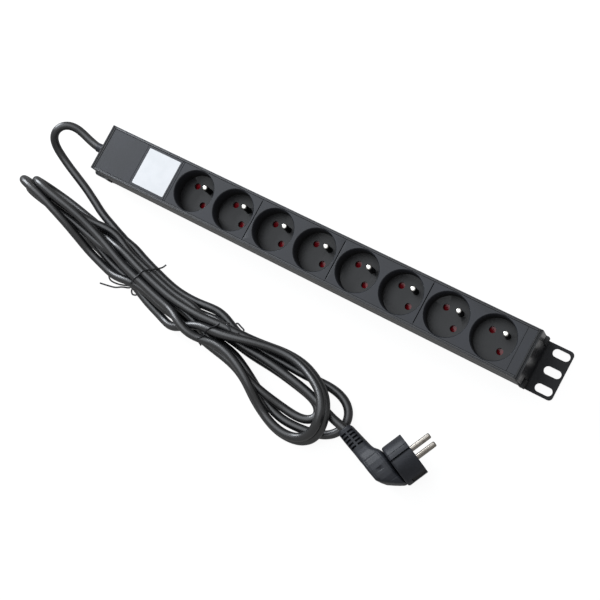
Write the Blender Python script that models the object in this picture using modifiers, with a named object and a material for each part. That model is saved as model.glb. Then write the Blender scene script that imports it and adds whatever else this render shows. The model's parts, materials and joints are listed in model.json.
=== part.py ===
"""Rack power strip: a nineteen-inch socket strip with eight shuttered sockets, its cord and its plug.

Sizes are in millimetres and become metres when a mesh is made. +X runs along the strip, +Y across it
and +Z out of its face. The strip lies on its back, and the backs of its two ears are at z = 0.
"""

import math

import bmesh
import bpy
import numpy as np
from mathutils import Matrix, Vector

# ---------------------------------------------------------------- driving dimensions
MM = 0.001
GAP = 0.3  # air between two pieces that touch
SINK = 0.5  # how far united solids reach into each other

PITCH = 42.55  # from socket to socket
MODULES = 4  # inserts with two sockets each
TEXT_W = 39.5  # widths of the inserts left and right of the sockets
LABEL_W = 39.0
SPACER_W = 1.95
FILLER_W = 8.15
EAR_REACH = 23.3  # from a bracket's leg to the end of its ear

STRIP_W = 44.4  # width of the aluminium profile and the brackets
BODY_D = 46.0  # from the profile's back to the top of its lips
BACK_Z = 2.0  # the profile's back, level with the top of the ears
WALL = 2.2
BASE_T = 2.0
RIB = 1.2  # the ledges inside the walls that the inserts hook under
RIB_Z = 20.0  # from the profile's back to the ledge
GROOVE = 0.6
FACE_DROP = 0.4  # the inserts' face lies this far under the lips

SHEET = 2.0  # the brackets' steel
BEND_R = 1.5
FLANGE_T = 1.2  # the end caps' flange
EAR_CORNER = 3.5
SLOT_PITCH = 15.875
SLOT_L = 15.3
SLOT_W = 7.2
SLOT_IN = 9.5  # from the ear's end to the slots' centre
NOTCH_Y = 6.2  # how far a notch reaches in from the leg's edge
NOTCH_LOW = 8.0
NOTCH_HIGH = 28.0
LUG_H = 8.8
LUG_PROUD = 0.8

PLATE_T = 2.4  # the inserts' face plate
SKIRT_T = 1.5
SKIRT_D = 9.0
RECESS_D = 15.0
RIM_SKIN = 0.7  # what is left between a recess and the insert's edge
BETWEEN = 2.2  # the least that is left between a recess and the edge of its share of the row
FLOOR_T = 2.2
CUP_WALL = 1.4
CONTACTS = 19.0  # between the two live holes
HOLE_R = 3.0
EARTH_OFF = 10.0  # from a socket's centre to its earth pin
PIN_R = 2.4
EARTH_LOW = 1.2  # the earth pin's tip lies this far under the face
TILT = math.radians(45.0)  # how the sockets are turned

SHUTTER_L = 27.0
SHUTTER_W = 6.8
SHUTTER_T = 2.5
TRAVEL = 6.5
LIP_T = 1.4

CORD_R = 3.9
CORD_Z = 22.0
GRIP_L = 18.0
PLUG_R = 19.0
PLUG_D = 19.5
PIN_L = 19.0
PLUG_ROLL = math.radians(4.5)
PLUG_YAW = math.radians(-25.0)
PLUG_XY = (165.1, -112.3)  # the middle of the plug's front face
HANK_H = 23.0
FOLD_H = 46.0
LOW_H = 7.2
PAIR_X = 88.8  # how far right the upper loops of the folded cord reach
TIE_R = 0.9
EPS = 0.02

# ---------------------------------------------------------------- sizes that follow
HALF_W = STRIP_W / 2
IN_W = HALF_W - WALL  # half the width inside the profile
TOP_Z = BACK_Z + BODY_D
FACE_Z = TOP_Z - FACE_DROP
INSERT_W = IN_W - GAP
RECESS_R = min(INSERT_W - RIM_SKIN, PITCH / 2 - BETWEEN)
FLOOR_Z = FACE_Z - RECESS_D
UNDER_Z = FLOOR_Z - FLOOR_T
INSERTS = TEXT_W + LABEL_W + SPACER_W + 2 * MODULES * PITCH + FILLER_W
END_X = INSERTS / 2  # where the inserts and the flange meet
FLANGE_X = END_X + FLANGE_T
LEG_X = END_X + FLANGE_T + GAP
OUT_X = LEG_X + SHEET
EAR_X = OUT_X + EAR_REACH
TEXT_X = -END_X
LABEL_X = TEXT_X + TEXT_W
SPACER_X = LABEL_X + LABEL_W
ROW_X = SPACER_X + SPACER_W
FILLER_X = ROW_X + 2 * MODULES * PITCH
INSIDE_Z = BACK_Z + BASE_T
LEDGE_Z = min(BACK_Z + RIB_Z, UNDER_Z - RIB - GAP)
SOCKETS = [ROW_X + (i + 0.5) * PITCH for i in range(2 * MODULES)]
SIN = math.sin(TILT)
COS = math.cos(TILT)
LIP_LOW = UNDER_Z - 2 * GAP - SHUTTER_T - LIP_T  # the lowest point of a shutter's rails
CLIP_TOP = LIP_LOW - 0.7
BAR_Z = INSIDE_Z + 8.0
BAR_H = (CLIP_TOP - BAR_Z) * 0.6
EARTH_BAR_Z = INSIDE_Z + GAP + PLATE_T + GAP
BAR_END = ROW_X - 2.0

# ---------------------------------------------------------------- scene, collections, materials
for old in list(bpy.data.objects):
    bpy.data.objects.remove(old, do_unlink=True)

PARTS = bpy.data.collections.new("rack_power_strip")
CUTTERS = bpy.data.collections.new("cutters")
CUTTERS.hide_render = True
bpy.context.scene.collection.children.link(PARTS)
bpy.context.scene.collection.children.link(CUTTERS)


def material(name, rgb, rough, metal=0.0):
    """A Principled material from an sRGB colour, a roughness and a metallic value."""
    mat = bpy.data.materials.new(name)
    mat.use_nodes = True
    shader = mat.node_tree.nodes["Principled BSDF"]
    linear = [((c + 0.055) / 1.055) ** 2.4 if c > 0.04045 else c / 12.92 for c in rgb]
    shader.inputs["Base Color"].default_value = (*linear, 1.0)
    shader.inputs["Roughness"].default_value = rough
    shader.inputs["Metallic"].default_value = metal
    mat.diffuse_color = (*linear, 1.0)
    return mat


LOOKS = {
    "anodised": ((0.40, 0.39, 0.37), 0.42, 0.9),
    "painted": ((0.15, 0.17, 0.19), 0.38, 0.3),
    "insert": ((0.29, 0.30, 0.32), 0.48, 0.0),
    "cap": ((0.27, 0.28, 0.30), 0.45, 0.0),
    "shutter": ((0.52, 0.05, 0.09), 0.35, 0.0),
    "nickel": ((0.86, 0.86, 0.84), 0.18, 1.0),
    "brass": ((0.80, 0.64, 0.32), 0.28, 1.0),
    "spring": ((0.70, 0.71, 0.73), 0.25, 1.0),
    "carrier": ((0.82, 0.81, 0.76), 0.55, 0.0),
    "brown": ((0.36, 0.20, 0.11), 0.45, 0.0),
    "blue": ((0.12, 0.25, 0.58), 0.45, 0.0),
    "green": ((0.35, 0.60, 0.16), 0.45, 0.0),
    "cord": ((0.13, 0.13, 0.14), 0.38, 0.0),
    "plug": ((0.15, 0.15, 0.16), 0.42, 0.0),
    "tie": ((0.07, 0.07, 0.08), 0.45, 0.0),
}


# ---------------------------------------------------------------- tools
def bake(obj, caps=False):
    """Evaluate an object, weld its seams and return its mesh in world space; the object goes.

    With caps, each open end gets one flat face.
    """
    bpy.context.view_layer.update()
    graph = bpy.context.evaluated_depsgraph_get()
    mesh = bpy.data.meshes.new_from_object(obj.evaluated_get(graph))
    mesh.transform(obj.matrix_world)
    bpy.data.objects.remove(obj, do_unlink=True)
    work = bmesh.new()
    work.from_mesh(mesh)
    bmesh.ops.remove_doubles(work, verts=work.verts, dist=1e-7)
    if caps:
        rim = [edge for edge in work.edges if len(edge.link_faces) == 1]
        bmesh.ops.holes_fill(work, edges=rim, sides=0)
    bmesh.ops.recalc_face_normals(work, faces=work.faces)
    work.to_mesh(mesh)
    work.free()
    return mesh


def merge(*meshes):
    """One mesh from several, each kept as its own shell."""
    work = bmesh.new()
    for mesh in meshes:
        work.from_mesh(mesh)
    out = bpy.data.meshes.new("merged")
    work.to_mesh(out)
    work.free()
    return out


def moved(mesh, matrix):
    """A copy of a mesh under a rotation and a move given in millimetres."""
    out = mesh.copy()
    shift = matrix.copy()
    shift.translation = shift.translation * MM
    out.transform(shift)
    return out


def shifted(mesh, x=0.0, y=0.0, z=0.0):
    """A copy of a mesh moved by millimetres."""
    return moved(mesh, Matrix.Translation((x, y, z)))


def box(x0, x1, y0, y1, z0, z1):
    """A block between two corners."""
    bpy.ops.mesh.primitive_cube_add(size=1.0)
    obj = bpy.context.object
    obj.scale = ((x1 - x0) * MM, (y1 - y0) * MM, (z1 - z0) * MM)
    obj.location = ((x0 + x1) / 2 * MM, (y0 + y1) / 2 * MM, (z0 + z1) / 2 * MM)
    return bake(obj)


def prism(loops, low, high, axis="Z"):
    """Closed outlines (the first outside, the others holes) extruded from low to high along an axis.

    An outline holds (x, y) points for Z, (y, z) points for X and (x, z) points for Y. The outlines
    are a filled curve's; an outline with no hole gets one flat face at each end.
    """
    middle = (low + high) / 2 * MM
    if axis == "X":
        turn = Matrix(((0, 0, 1, middle), (1, 0, 0, 0), (0, 1, 0, 0), (0, 0, 0, 1)))
    elif axis == "Y":
        turn = Matrix(((1, 0, 0, 0), (0, 0, -1, middle), (0, 1, 0, 0), (0, 0, 0, 1)))
    else:
        turn = Matrix.Translation((0, 0, middle))
    curve = bpy.data.curves.new("outline", "CURVE")
    curve.dimensions = "2D"
    curve.fill_mode = "BOTH" if len(loops) > 1 else "NONE"
    curve.extrude = (high - low) / 2 * MM
    curve.resolution_u = 1
    for loop in loops:
        spline = curve.splines.new("POLY")
        spline.points.add(len(loop) - 1)
        for point, (a, b) in zip(spline.points, loop):
            point.co = (a * MM, b * MM, 0.0, 1.0)
        spline.use_cyclic_u = True
    obj = bpy.data.objects.new("outline", curve)
    bpy.context.scene.collection.objects.link(obj)
    obj.matrix_world = turn
    return bake(obj, caps=len(loops) == 1)


def lathe(profile, steps=32):
    """A profile of (radius, z) points, running from the top down its outer side, screwed about Z."""
    mesh = bpy.data.meshes.new("profile")
    points = [(r * MM, 0.0, z * MM) for r, z in profile]
    edges = [(i, i + 1) for i in range(len(points) - 1)]
    if profile[0][0] > 0:
        edges.append((len(points) - 1, 0))
    mesh.from_pydata(points, edges, [])
    obj = bpy.data.objects.new("profile", mesh)
    bpy.context.scene.collection.objects.link(obj)
    screw = obj.modifiers.new("turn", "SCREW")
    screw.axis = "Z"
    screw.angle = math.tau
    screw.steps = steps
    screw.render_steps = steps
    screw.use_merge_vertices = True
    screw.merge_threshold = 0.00001
    screw.use_normal_calculate = True
    return bake(obj)


def tube(points, radius, rings=2):
    """A round wire along points, its ends closed."""
    curve = bpy.data.curves.new("wire", "CURVE")
    curve.dimensions = "3D"
    curve.fill_mode = "FULL"
    curve.bevel_depth = radius * MM
    curve.bevel_resolution = rings
    curve.use_fill_caps = True
    curve.resolution_u = 1
    spline = curve.splines.new("POLY")
    spline.points.add(len(points) - 1)
    for point, place in zip(spline.points, points):
        point.co = (place[0] * MM, place[1] * MM, place[2] * MM, 1.0)
    obj = bpy.data.objects.new("wire", curve)
    bpy.context.scene.collection.objects.link(obj)
    return bake(obj)


def route(points, step):
    """Points a set step apart on a smooth curve (a Catmull-Rom spline) through the given ones."""
    given = np.array(points, float)
    ends = np.vstack([2 * given[0] - given[1], given, 2 * given[-1] - given[-2]])
    t = np.linspace(0.0, 1.0, 24, endpoint=False)[:, None]
    out = []
    for a, b, c, d in zip(ends, ends[1:], ends[2:], ends[3:]):
        bend = 2 * a - 5 * b + 4 * c - d
        out.append(0.5 * (2 * b + (c - a) * t + bend * t**2 + (3 * b - a - 3 * c + d) * t**3))
    fine = np.vstack([*out, given[-1:]])
    along = np.concatenate([[0.0], np.cumsum(np.linalg.norm(np.diff(fine, axis=0), axis=1))])
    count = max(2, round(along[-1] / step) + 1)
    wanted = np.linspace(0.0, along[-1], count)
    return np.column_stack([np.interp(wanted, along, fine[:, k]) for k in range(3)])


def arc(cx, cy, radius, start, stop, steps):
    """Points on an arc, its angles in degrees."""
    angles = np.radians(np.linspace(start, stop, steps))
    return [(cx + radius * math.cos(a), cy + radius * math.sin(a)) for a in angles]


def rectangle(x0, x1, y0, y1):
    """The four corners of a rectangle, anticlockwise."""
    return [(x0, y0), (x1, y0), (x1, y1), (x0, y1)]


def loft(sections):
    """A closed skin over rings of points, each ring with the same number of them."""
    work = bmesh.new()
    rings = [[work.verts.new(Vector(p) * MM) for p in ring] for ring in sections]
    for low, high in zip(rings, rings[1:]):
        for i in range(len(low)):
            j = (i + 1) % len(low)
            work.faces.new((low[i], low[j], high[j], high[i]))
    work.faces.new(rings[0][::-1])
    work.faces.new(rings[-1])
    bmesh.ops.recalc_face_normals(work, faces=work.faces)
    out = bpy.data.meshes.new("loft")
    work.to_mesh(out)
    work.free()
    return out


def node(name, mesh, look, origin=(0.0, 0.0, 0.0), smooth=False):
    """A piece of the part: an object of its own with a material of its own."""
    mesh.transform(Matrix.Translation(-Vector(origin) * MM))
    mesh.name = name
    obj = bpy.data.objects.new(name, mesh)
    obj.location = Vector(origin) * MM
    PARTS.objects.link(obj)
    mesh.materials.clear()
    mesh.materials.append(material(name, *LOOKS[look]))
    if smooth:
        mesh.shade_smooth()
        mesh.set_sharp_from_angle(angle=math.radians(35))
    return obj


def use(obj, mesh, operation, label):
    """Unite a solid with a piece, or cut or keep by it, with an exact Boolean."""
    other = bpy.data.objects.new(obj.name + "_" + label, mesh)
    other.display_type = "WIRE"
    other.hide_render = True
    CUTTERS.objects.link(other)
    change = obj.modifiers.new(label, "BOOLEAN")
    change.operation = operation
    change.solver = "EXACT"
    change.object = other
    return obj


def add(obj, mesh, label):
    return use(obj, mesh, "UNION", label)


def cut(obj, mesh, label):
    return use(obj, mesh, "DIFFERENCE", label)


# ---------------------------------------------------------------- the aluminium profile
def wall_side():
    """The profile's right half, from the middle of its back round to the middle of its floor."""
    side = [(HALF_W - 1.0, BACK_Z), (HALF_W, BACK_Z + 1.0)]
    for height in (BODY_D * 0.26, BODY_D * 0.74):
        side.append((HALF_W, BACK_Z + height - GROOVE))
        side.append((HALF_W - GROOVE, BACK_Z + height))
        side.append((HALF_W, BACK_Z + height + GROOVE))
    side.append((HALF_W, TOP_Z - 0.3))
    side.append((HALF_W - 0.3, TOP_Z))
    side.append((HALF_W - 0.9, TOP_Z))
    side.append((HALF_W - 1.05, TOP_Z - 0.25))
    side.append((HALF_W - 1.2, TOP_Z))
    side.append((IN_W, TOP_Z))
    side.append((IN_W, LEDGE_Z + RIB))
    side.append((IN_W - RIB, LEDGE_Z + RIB))
    side.append((IN_W - RIB, LEDGE_Z))
    side.append((IN_W, LEDGE_Z))
    side.append((IN_W, INSIDE_Z))
    return side


half = wall_side()
section = half + [(-y, z) for y, z in half[::-1]]
node("profile", prism([section], -END_X + GAP, END_X - GAP, "X"), "anodised")


# ---------------------------------------------------------------- end caps
def ear_side(mesh, side):
    """The mesh as it is for the right end, mirrored for the left end."""
    if side < 0:
        work = bmesh.new()
        work.from_mesh(mesh)
        bmesh.ops.scale(work, vec=(-1, 1, 1), verts=work.verts)
        bmesh.ops.reverse_faces(work, faces=work.faces)
        work.to_mesh(mesh)
        work.free()
    return mesh


GLAND_R = 7.0
NECK_R = GLAND_R + GAP
COLLAR_R = 8.6
PLUG_IN = 4.0
PLUG_W = IN_W - RIB - GAP
LUG_IN = HALF_W - NOTCH_Y + GAP
LUG_OUT = HALF_W + 1.2
LUG_LOW = NOTCH_LOW + GAP
TRAY_Z = CORD_Z - CORD_R - GAP
RING_TOP = max(FLOOR_Z, CORD_Z + CORD_R + 2 * GAP + 1.6)

for side, tag in ((-1, "left"), (1, "right")):
    open_low = LUG_LOW + LUG_H
    flange = [(-HALF_W, BACK_Z), (HALF_W, BACK_Z), (HALF_W, open_low - GAP), (LUG_IN, open_low - GAP)]
    flange += [(LUG_IN, NOTCH_HIGH), (HALF_W, NOTCH_HIGH), (HALF_W, TOP_Z), (-HALF_W, TOP_Z)]
    flange += [(-HALF_W, NOTCH_HIGH), (-LUG_IN, NOTCH_HIGH), (-LUG_IN, open_low - GAP)]
    flange += [(-HALF_W, open_low - GAP)]
    body = ear_side(prism([flange], END_X, FLANGE_X, "X"), side)
    cap = node("end_cap_" + tag, body, "cap")
    outer = rectangle(-PLUG_W, PLUG_W, INSIDE_Z + GAP, RING_TOP)
    inner = rectangle(-PLUG_W + 1.6, PLUG_W - 1.6, INSIDE_Z + GAP + 1.6, RING_TOP - 1.6)
    add(cap, ear_side(prism([outer, inner], END_X - PLUG_IN, END_X + SINK, "X"), side), "ring")
    lugs = [
        box(END_X + 0.2, OUT_X + LUG_PROUD, LUG_IN, LUG_OUT, LUG_LOW, open_low),
        box(END_X + 0.2, OUT_X + LUG_PROUD, -LUG_OUT, -LUG_IN, LUG_LOW, open_low),
    ]
    add(cap, ear_side(merge(*lugs), side), "lugs")
    if side < 0:
        shelf = box(-END_X - SINK, -END_X + 16.0, -8.5, 8.5, TRAY_Z - 8.0, TRAY_Z)
        add(cap, shelf, "tray")
        collar = 1.4 + 4 * GAP
        wide = COLLAR_R + GAP
        steps = [(0, collar), (wide, collar), (wide, 0), (NECK_R, 0), (NECK_R, -4), (0, -4)]
        hole = moved(lathe(steps, 32), Matrix.Rotation(math.pi / 2, 4, "Y"))
        cut(cap, shifted(hole, -END_X, 0, CORD_Z), "cord_hole")


# ---------------------------------------------------------------- brackets with their ears
def obround(cx, cy, length, width):
    """A slot's outline, long in x."""
    reach = (length - width) / 2
    right = arc(cx + reach, cy, width / 2, -90, 90, 9)
    return right + arc(cx - reach, cy, width / 2, 90, 270, 9)


for side, tag in ((-1, "left"), (1, "right")):
    bend = arc(OUT_X + BEND_R, SHEET + BEND_R, BEND_R, 180, 270, 7)
    heel = arc(OUT_X + BEND_R, SHEET + BEND_R, SHEET + BEND_R, 270, 180, 9)
    sheet = [(LEG_X, TOP_Z), *heel[::-1], (EAR_X, 0.0), (EAR_X, SHEET), *bend[::-1], (OUT_X, TOP_Z)]
    bracket = node("bracket_" + tag, ear_side(prism([sheet], -HALF_W, HALF_W, "Y"), side), "painted")
    corner = EAR_X - EAR_CORNER
    edge = HALF_W - EAR_CORNER
    plan = [(LEG_X - 2, -HALF_W), *arc(corner, -edge, EAR_CORNER, -90, 0, 7)]
    plan += [*arc(corner, edge, EAR_CORNER, 0, 90, 7), (LEG_X - 2, HALF_W)]
    use(bracket, ear_side(prism([plan], -1, TOP_Z + 1), side), "INTERSECT", "plan")
    slots = [
        prism([obround(EAR_X - SLOT_IN, i * SLOT_PITCH, SLOT_L, SLOT_W)], -1, SHEET + 1)
        for i in (-1, 0, 1)
    ]
    cut(bracket, ear_side(merge(*slots), side), "slots")
    notches = [
        box(LEG_X - 1, OUT_X + 1, HALF_W - NOTCH_Y, HALF_W + 1, NOTCH_LOW, NOTCH_HIGH),
        box(LEG_X - 1, OUT_X + 1, -HALF_W - 1, -HALF_W + NOTCH_Y, NOTCH_LOW, NOTCH_HIGH),
    ]
    cut(bracket, ear_side(merge(*notches), side), "notches")
    if side < 0:
        hole = lathe([(0, 4), (NECK_R, 4), (NECK_R, -4), (0, -4)], 32)
        hole = moved(hole, Matrix.Rotation(math.pi / 2, 4, "Y"))
        cut(bracket, shifted(hole, -OUT_X + 1.0, 0, CORD_Z), "cord_hole")


# ---------------------------------------------------------------- inserts
LEG_Y = IN_W - RIB - GAP
LEG_THICK = 1.1
HOOK_Z = LEDGE_Z - GAP
LEG_LOW = HOOK_Z - 1.4


def snap_legs(x0, x1):
    """Two legs that reach down inside the walls and hook under the profile's ledges."""
    leg = [(LEG_Y - LEG_THICK, FACE_Z - 1.0), (LEG_Y - LEG_THICK, LEG_LOW), (LEG_Y, LEG_LOW)]
    leg += [(INSERT_W, HOOK_Z - 0.7), (INSERT_W, HOOK_Z), (LEG_Y, HOOK_Z), (LEG_Y, FACE_Z - 1.0)]
    other = [(-y, z) for y, z in leg]
    return merge(prism([leg], x0, x1, "X"), prism([other], x0, x1, "X"))


def insert(name, x0, x1, legs):
    """A plain insert: a plate with a skirt under its edge and two snap legs, from legs[0] to legs[1]."""
    low = x0 + GAP / 2
    high = x1 - GAP / 2
    plate = node(name, box(low, high, -INSERT_W, INSERT_W, FACE_Z - PLATE_T, FACE_Z), "insert")
    ring = prism(
        [
            rectangle(low + EPS, high - EPS, -INSERT_W + EPS, INSERT_W - EPS),
            rectangle(low + SKIRT_T, high - SKIRT_T, -INSERT_W + SKIRT_T, INSERT_W - SKIRT_T),
        ],
        FACE_Z - SKIRT_D,
        FACE_Z - 1.0,
    )
    add(plate, ring, "skirt")
    add(plate, snap_legs(*legs), "legs")
    return plate


TEXT_MID = (TEXT_X + LABEL_X) / 2
LABEL_MID = (LABEL_X + SPACER_X) / 2
insert("panel_text", TEXT_X, LABEL_X, (TEXT_MID - 4, TEXT_MID + 4))
insert("panel_label", LABEL_X, SPACER_X, (LABEL_MID - 4, LABEL_MID + 4))
insert("panel_right", FILLER_X, END_X, (FILLER_X + SKIRT_T + 0.6, END_X - PLUG_IN - 2 * GAP))
spacer = rectangle(-INSERT_W, INSERT_W, FACE_Z - SKIRT_D, FACE_Z)
node("spacer", prism([spacer], SPACER_X + GAP / 2, ROW_X - GAP / 2, "X"), "insert")


# ---------------------------------------------------------------- socket modules
def turned(u, v):
    """From a socket's own axes (u through the live holes, v to the earth pin) to x and y."""
    return (-COS * u + SIN * v, SIN * u + COS * v)


def turned_prism(u0, u1, v0, v1, z0, z1):
    """A block along a socket's own axes, about the socket's centre."""
    corners = [turned(u, v) for u, v in rectangle(u0, u1, v0, v1)]
    return prism([corners[::-1]], z0, z1)


PLATE_LOW = UNDER_Z - GAP - SHUTTER_T
HOLE_U = CONTACTS / 2
SHUTTER_U = SHUTTER_L / 2
SHUTTER_V = SHUTTER_W / 2
RAIL_U = SHUTTER_U + GAP
LIP_Z = LIP_LOW + LIP_T
RAIL_V0 = -SHUTTER_V - TRAVEL - GAP
POST_V = -SHUTTER_V - TRAVEL - 2.5
BEAD = 0.6

rim = [(0, 2), (RECESS_R + BEAD, 2), (RECESS_R + BEAD, 0), (RECESS_R, -BEAD)]
recess = lathe([*rim, (RECESS_R, -RECESS_D), (0, -RECESS_D)], 32)
live_hole = lathe([(0, 1), (HOLE_R, 1), (HOLE_R, -FLOOR_T - 1), (0, -FLOOR_T - 1)], 12)
earth_hole = lathe([(0, 1), (PIN_R + GAP, 1), (PIN_R + GAP, -FLOOR_T - 1), (0, -FLOOR_T - 1)], 12)
cup = [
    (x, max(-INSERT_W + EPS, min(INSERT_W - EPS, y)))
    for x, y in arc(0, 0, RECESS_R + CUP_WALL, 0, 360, 33)[:-1]
]

for m in range(MODULES):
    x0 = ROW_X + 2 * m * PITCH
    x1 = x0 + 2 * PITCH
    low = x0 + GAP / 2
    high = x1 - GAP / 2
    shoulder = INSERT_W - 1.5
    back = 0.25
    left_back = back if m > 0 else 0.0
    right_back = back if m < MODULES - 1 else 0.0
    face = [(low, -INSERT_W), (high, -INSERT_W), (high, -shoulder), (high - right_back, -shoulder)]
    face += [(high - right_back, shoulder), (high, shoulder), (high, INSERT_W), (low, INSERT_W)]
    face += [(low, shoulder), (low + left_back, shoulder), (low + left_back, -shoulder), (low, -shoulder)]
    face = [p for i, p in enumerate(face) if p != face[i - 1]]
    module = node("module_%d" % (m + 1), prism([face], FACE_Z - PLATE_T, FACE_Z), "insert", smooth=True)
    ring = prism(
        [
            rectangle(low + back + EPS, high - back - EPS, -INSERT_W + 2 * EPS, INSERT_W - 2 * EPS),
            rectangle(low + SKIRT_T, high - SKIRT_T, -INSERT_W + SKIRT_T, INSERT_W - SKIRT_T),
        ],
        FACE_Z - SKIRT_D,
        FACE_Z - 1.0,
    )
    add(module, ring, "skirt")
    centres = SOCKETS[2 * m : 2 * m + 2]
    cups = prism([cup], UNDER_Z, FACE_Z - 0.9)
    add(module, merge(*[shifted(cups, x) for x in centres]), "cups")
    middle = (x0 + x1) / 2
    add(module, snap_legs(middle - 4, middle + 4), "legs")
    rails = []
    for x in centres:
        for hand in (-1, 1):
            u0, u1 = sorted((hand * RAIL_U, hand * (RAIL_U + 1.5)))
            rails.append(shifted(turned_prism(u0, u1, RAIL_V0, SHUTTER_V, LIP_Z - LIP_T, UNDER_Z + SINK), x))
        stop = turned_prism(-2.2, 2.2, POST_V - 1.4, POST_V, PLATE_LOW - 0.5, UNDER_Z + SINK)
        rails.append(shifted(stop, x))
    add(module, merge(*rails), "rails")
    lips = []
    for x in centres:
        for hand in (-1, 1):
            u0, u1 = sorted((hand * (RAIL_U - 1.4), hand * (RAIL_U + 1.4)))
            lip = turned_prism(u0, u1, RAIL_V0 + 0.1, SHUTTER_V - 0.1, LIP_LOW + EPS, LIP_Z)
            lips.append(shifted(lip, x))
    add(module, merge(*lips), "lips")
    cut(module, merge(*[shifted(recess, x, 0, FACE_Z) for x in centres]), "recesses")
    holes = []
    for x in centres:
        for u, v, tool in ((-HOLE_U, 0, live_hole), (HOLE_U, 0, live_hole), (0, EARTH_OFF, earth_hole)):
            dx, dy = turned(u, v)
            holes.append(shifted(tool, x + dx, dy, FLOOR_Z))
    cut(module, merge(*holes), "holes")

# ---------------------------------------------------------------- shutters and their springs
for i, x in enumerate(SOCKETS):
    plate = turned_prism(-SHUTTER_U, SHUTTER_U, -SHUTTER_V, SHUTTER_V, PLATE_LOW, UNDER_Z - GAP)
    shutter = node("shutter_%d" % (i + 1), shifted(plate, x), "shutter", origin=(x, 0, PLATE_LOW))
    ramps = []
    for hand in (-1, 1):
        back = SHUTTER_V - 1.2
        wedge = [(-SHUTTER_V - 1, 0.8), (back, 0.8), (back, 0.0), (-SHUTTER_V - 1, -1.6)]
        solid = prism([wedge], hand * HOLE_U - 2.6, hand * HOLE_U + 2.6, "X")
        turn = Matrix(((-COS, SIN, 0, x), (SIN, COS, 0, 0), (0, 0, 1, UNDER_Z - GAP), (0, 0, 0, 1)))
        ramps.append(moved(solid, turn))
    ramp = merge(*ramps)
    work = bmesh.new()
    work.from_mesh(ramp)
    bmesh.ops.reverse_faces(work, faces=work.faces)
    work.to_mesh(ramp)
    work.free()
    cut(shutter, ramp, "ramps")

SPRING_R = 1.0
WIRE_R = 0.22
SPRING_Z = UNDER_Z - GAP - SPRING_R - WIRE_R - 0.2
for i, x in enumerate(SOCKETS):
    turns = 4
    start = POST_V + GAP + WIRE_R
    stop = -SHUTTER_V - GAP - WIRE_R
    coil = []
    for k in range(turns * 6 + 1):
        angle = math.tau * k / 6
        v = start + (stop - start) * k / (turns * 6)
        dx, dy = turned(SPRING_R * math.cos(angle), v)
        coil.append((x + dx, dy, SPRING_Z + SPRING_R * math.sin(angle)))
    dx, dy = turned(0, start)
    node("spring_%d" % (i + 1), tube(coil, WIRE_R, 0), "spring", origin=(x + dx, dy, SPRING_Z))

# ---------------------------------------------------------------- earth pins
PIN_LOW = EARTH_BAR_Z + 1.2 + GAP
earth_pin = lathe(
    [
        (0, FACE_Z - EARTH_LOW),
        (1.2, FACE_Z - EARTH_LOW),
        (2.0, FACE_Z - EARTH_LOW - 0.5),
        (PIN_R, FACE_Z - EARTH_LOW - 1.6),
        (PIN_R, UNDER_Z - GAP),
        (PIN_R + 1.1, UNDER_Z - GAP),
        (PIN_R + 1.1, UNDER_Z - GAP - 2.0),
        (PIN_R, UNDER_Z - GAP - 2.0),
        (PIN_R, PIN_LOW),
        (0, PIN_LOW),
    ],
    10,
)
EARTH_X, EARTH_Y = turned(0, EARTH_OFF)
for i, x in enumerate(SOCKETS):
    node("earth_pin_%d" % (i + 1), shifted(earth_pin, x + EARTH_X, EARTH_Y), "nickel", smooth=True)

# ---------------------------------------------------------------- carriers and busbars
BAR_Y = 13.6
BAR_T = 0.8
HOLE_Y = HOLE_U * SIN


def bar_seat(sign, x):
    """A slotted rib that holds a busbar on edge."""
    near = BAR_Y - BAR_T / 2 - GAP
    far = BAR_Y + BAR_T / 2 + GAP
    slot_low = BAR_Z - GAP
    slot_top = BAR_Z + 3
    seat = [(near - 1.5, INSIDE_Z + GAP + 1), (far + 1.5, INSIDE_Z + GAP + 1), (far + 1.5, slot_top)]
    seat += [(far, slot_top), (far, slot_low), (near, slot_low), (near, slot_top), (near - 1.5, slot_top)]
    return prism([[(sign * y, z) for y, z in seat]], x - 4, x + 4, "X")


for m in range(MODULES):
    x0 = ROW_X + 2 * m * PITCH + GAP / 2
    x1 = x0 + 2 * PITCH - GAP
    base = box(x0, x1, -INSERT_W, INSERT_W, INSIDE_Z + GAP, INSIDE_Z + GAP + PLATE_T)
    carrier = node("carrier_%d" % (m + 1), base, "carrier")
    middle = (x0 + x1) / 2
    add(carrier, merge(bar_seat(-1, middle), bar_seat(1, middle)), "seats")

CLIP_T = 0.6
CLIP_GAP = PIN_R + 0.2


def busbar(name, sign, look="brass"):
    """A strip on edge with a sprung clip at each socket's live hole on its side."""
    y0, y1 = sorted((sign * (BAR_Y - BAR_T / 2), sign * (BAR_Y + BAR_T / 2)))
    bar = node(name, box(BAR_END, FILLER_X - 3, y0, y1, BAR_Z, BAR_Z + BAR_H), look)
    inner = HOLE_Y - CLIP_GAP
    outer = HOLE_Y + CLIP_GAP
    mouth = CLIP_TOP - 1.2
    web = BAR_Z + 0.8
    clip = [(BAR_Y, BAR_Z + EPS), (BAR_Y, web), (outer + CLIP_T, web), (outer + CLIP_T, mouth)]
    clip += [(outer + CLIP_T + 0.6, CLIP_TOP), (outer + 0.6, CLIP_TOP), (outer, mouth), (outer, web)]
    clip += [(inner, web), (inner, mouth), (inner - 0.6, CLIP_TOP), (inner - CLIP_T - 0.6, CLIP_TOP)]
    clip += [(inner - CLIP_T, mouth), (inner - CLIP_T, BAR_Z + EPS)]
    clips = []
    for x in SOCKETS:
        at = x - sign * HOLE_Y
        clips.append(prism([[(sign * y, z) for y, z in clip]], at - 3.2, at + 3.2, "X"))
    return add(bar, merge(*clips), "clips")


busbar("busbar_live", 1)
busbar("busbar_neutral", -1)
earth = box(BAR_END - 12, FILLER_X - 3, EARTH_Y - 3.5, EARTH_Y + 3.5, EARTH_BAR_Z, EARTH_BAR_Z + 1.2)
node("busbar_earth", earth, "brass")

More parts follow.
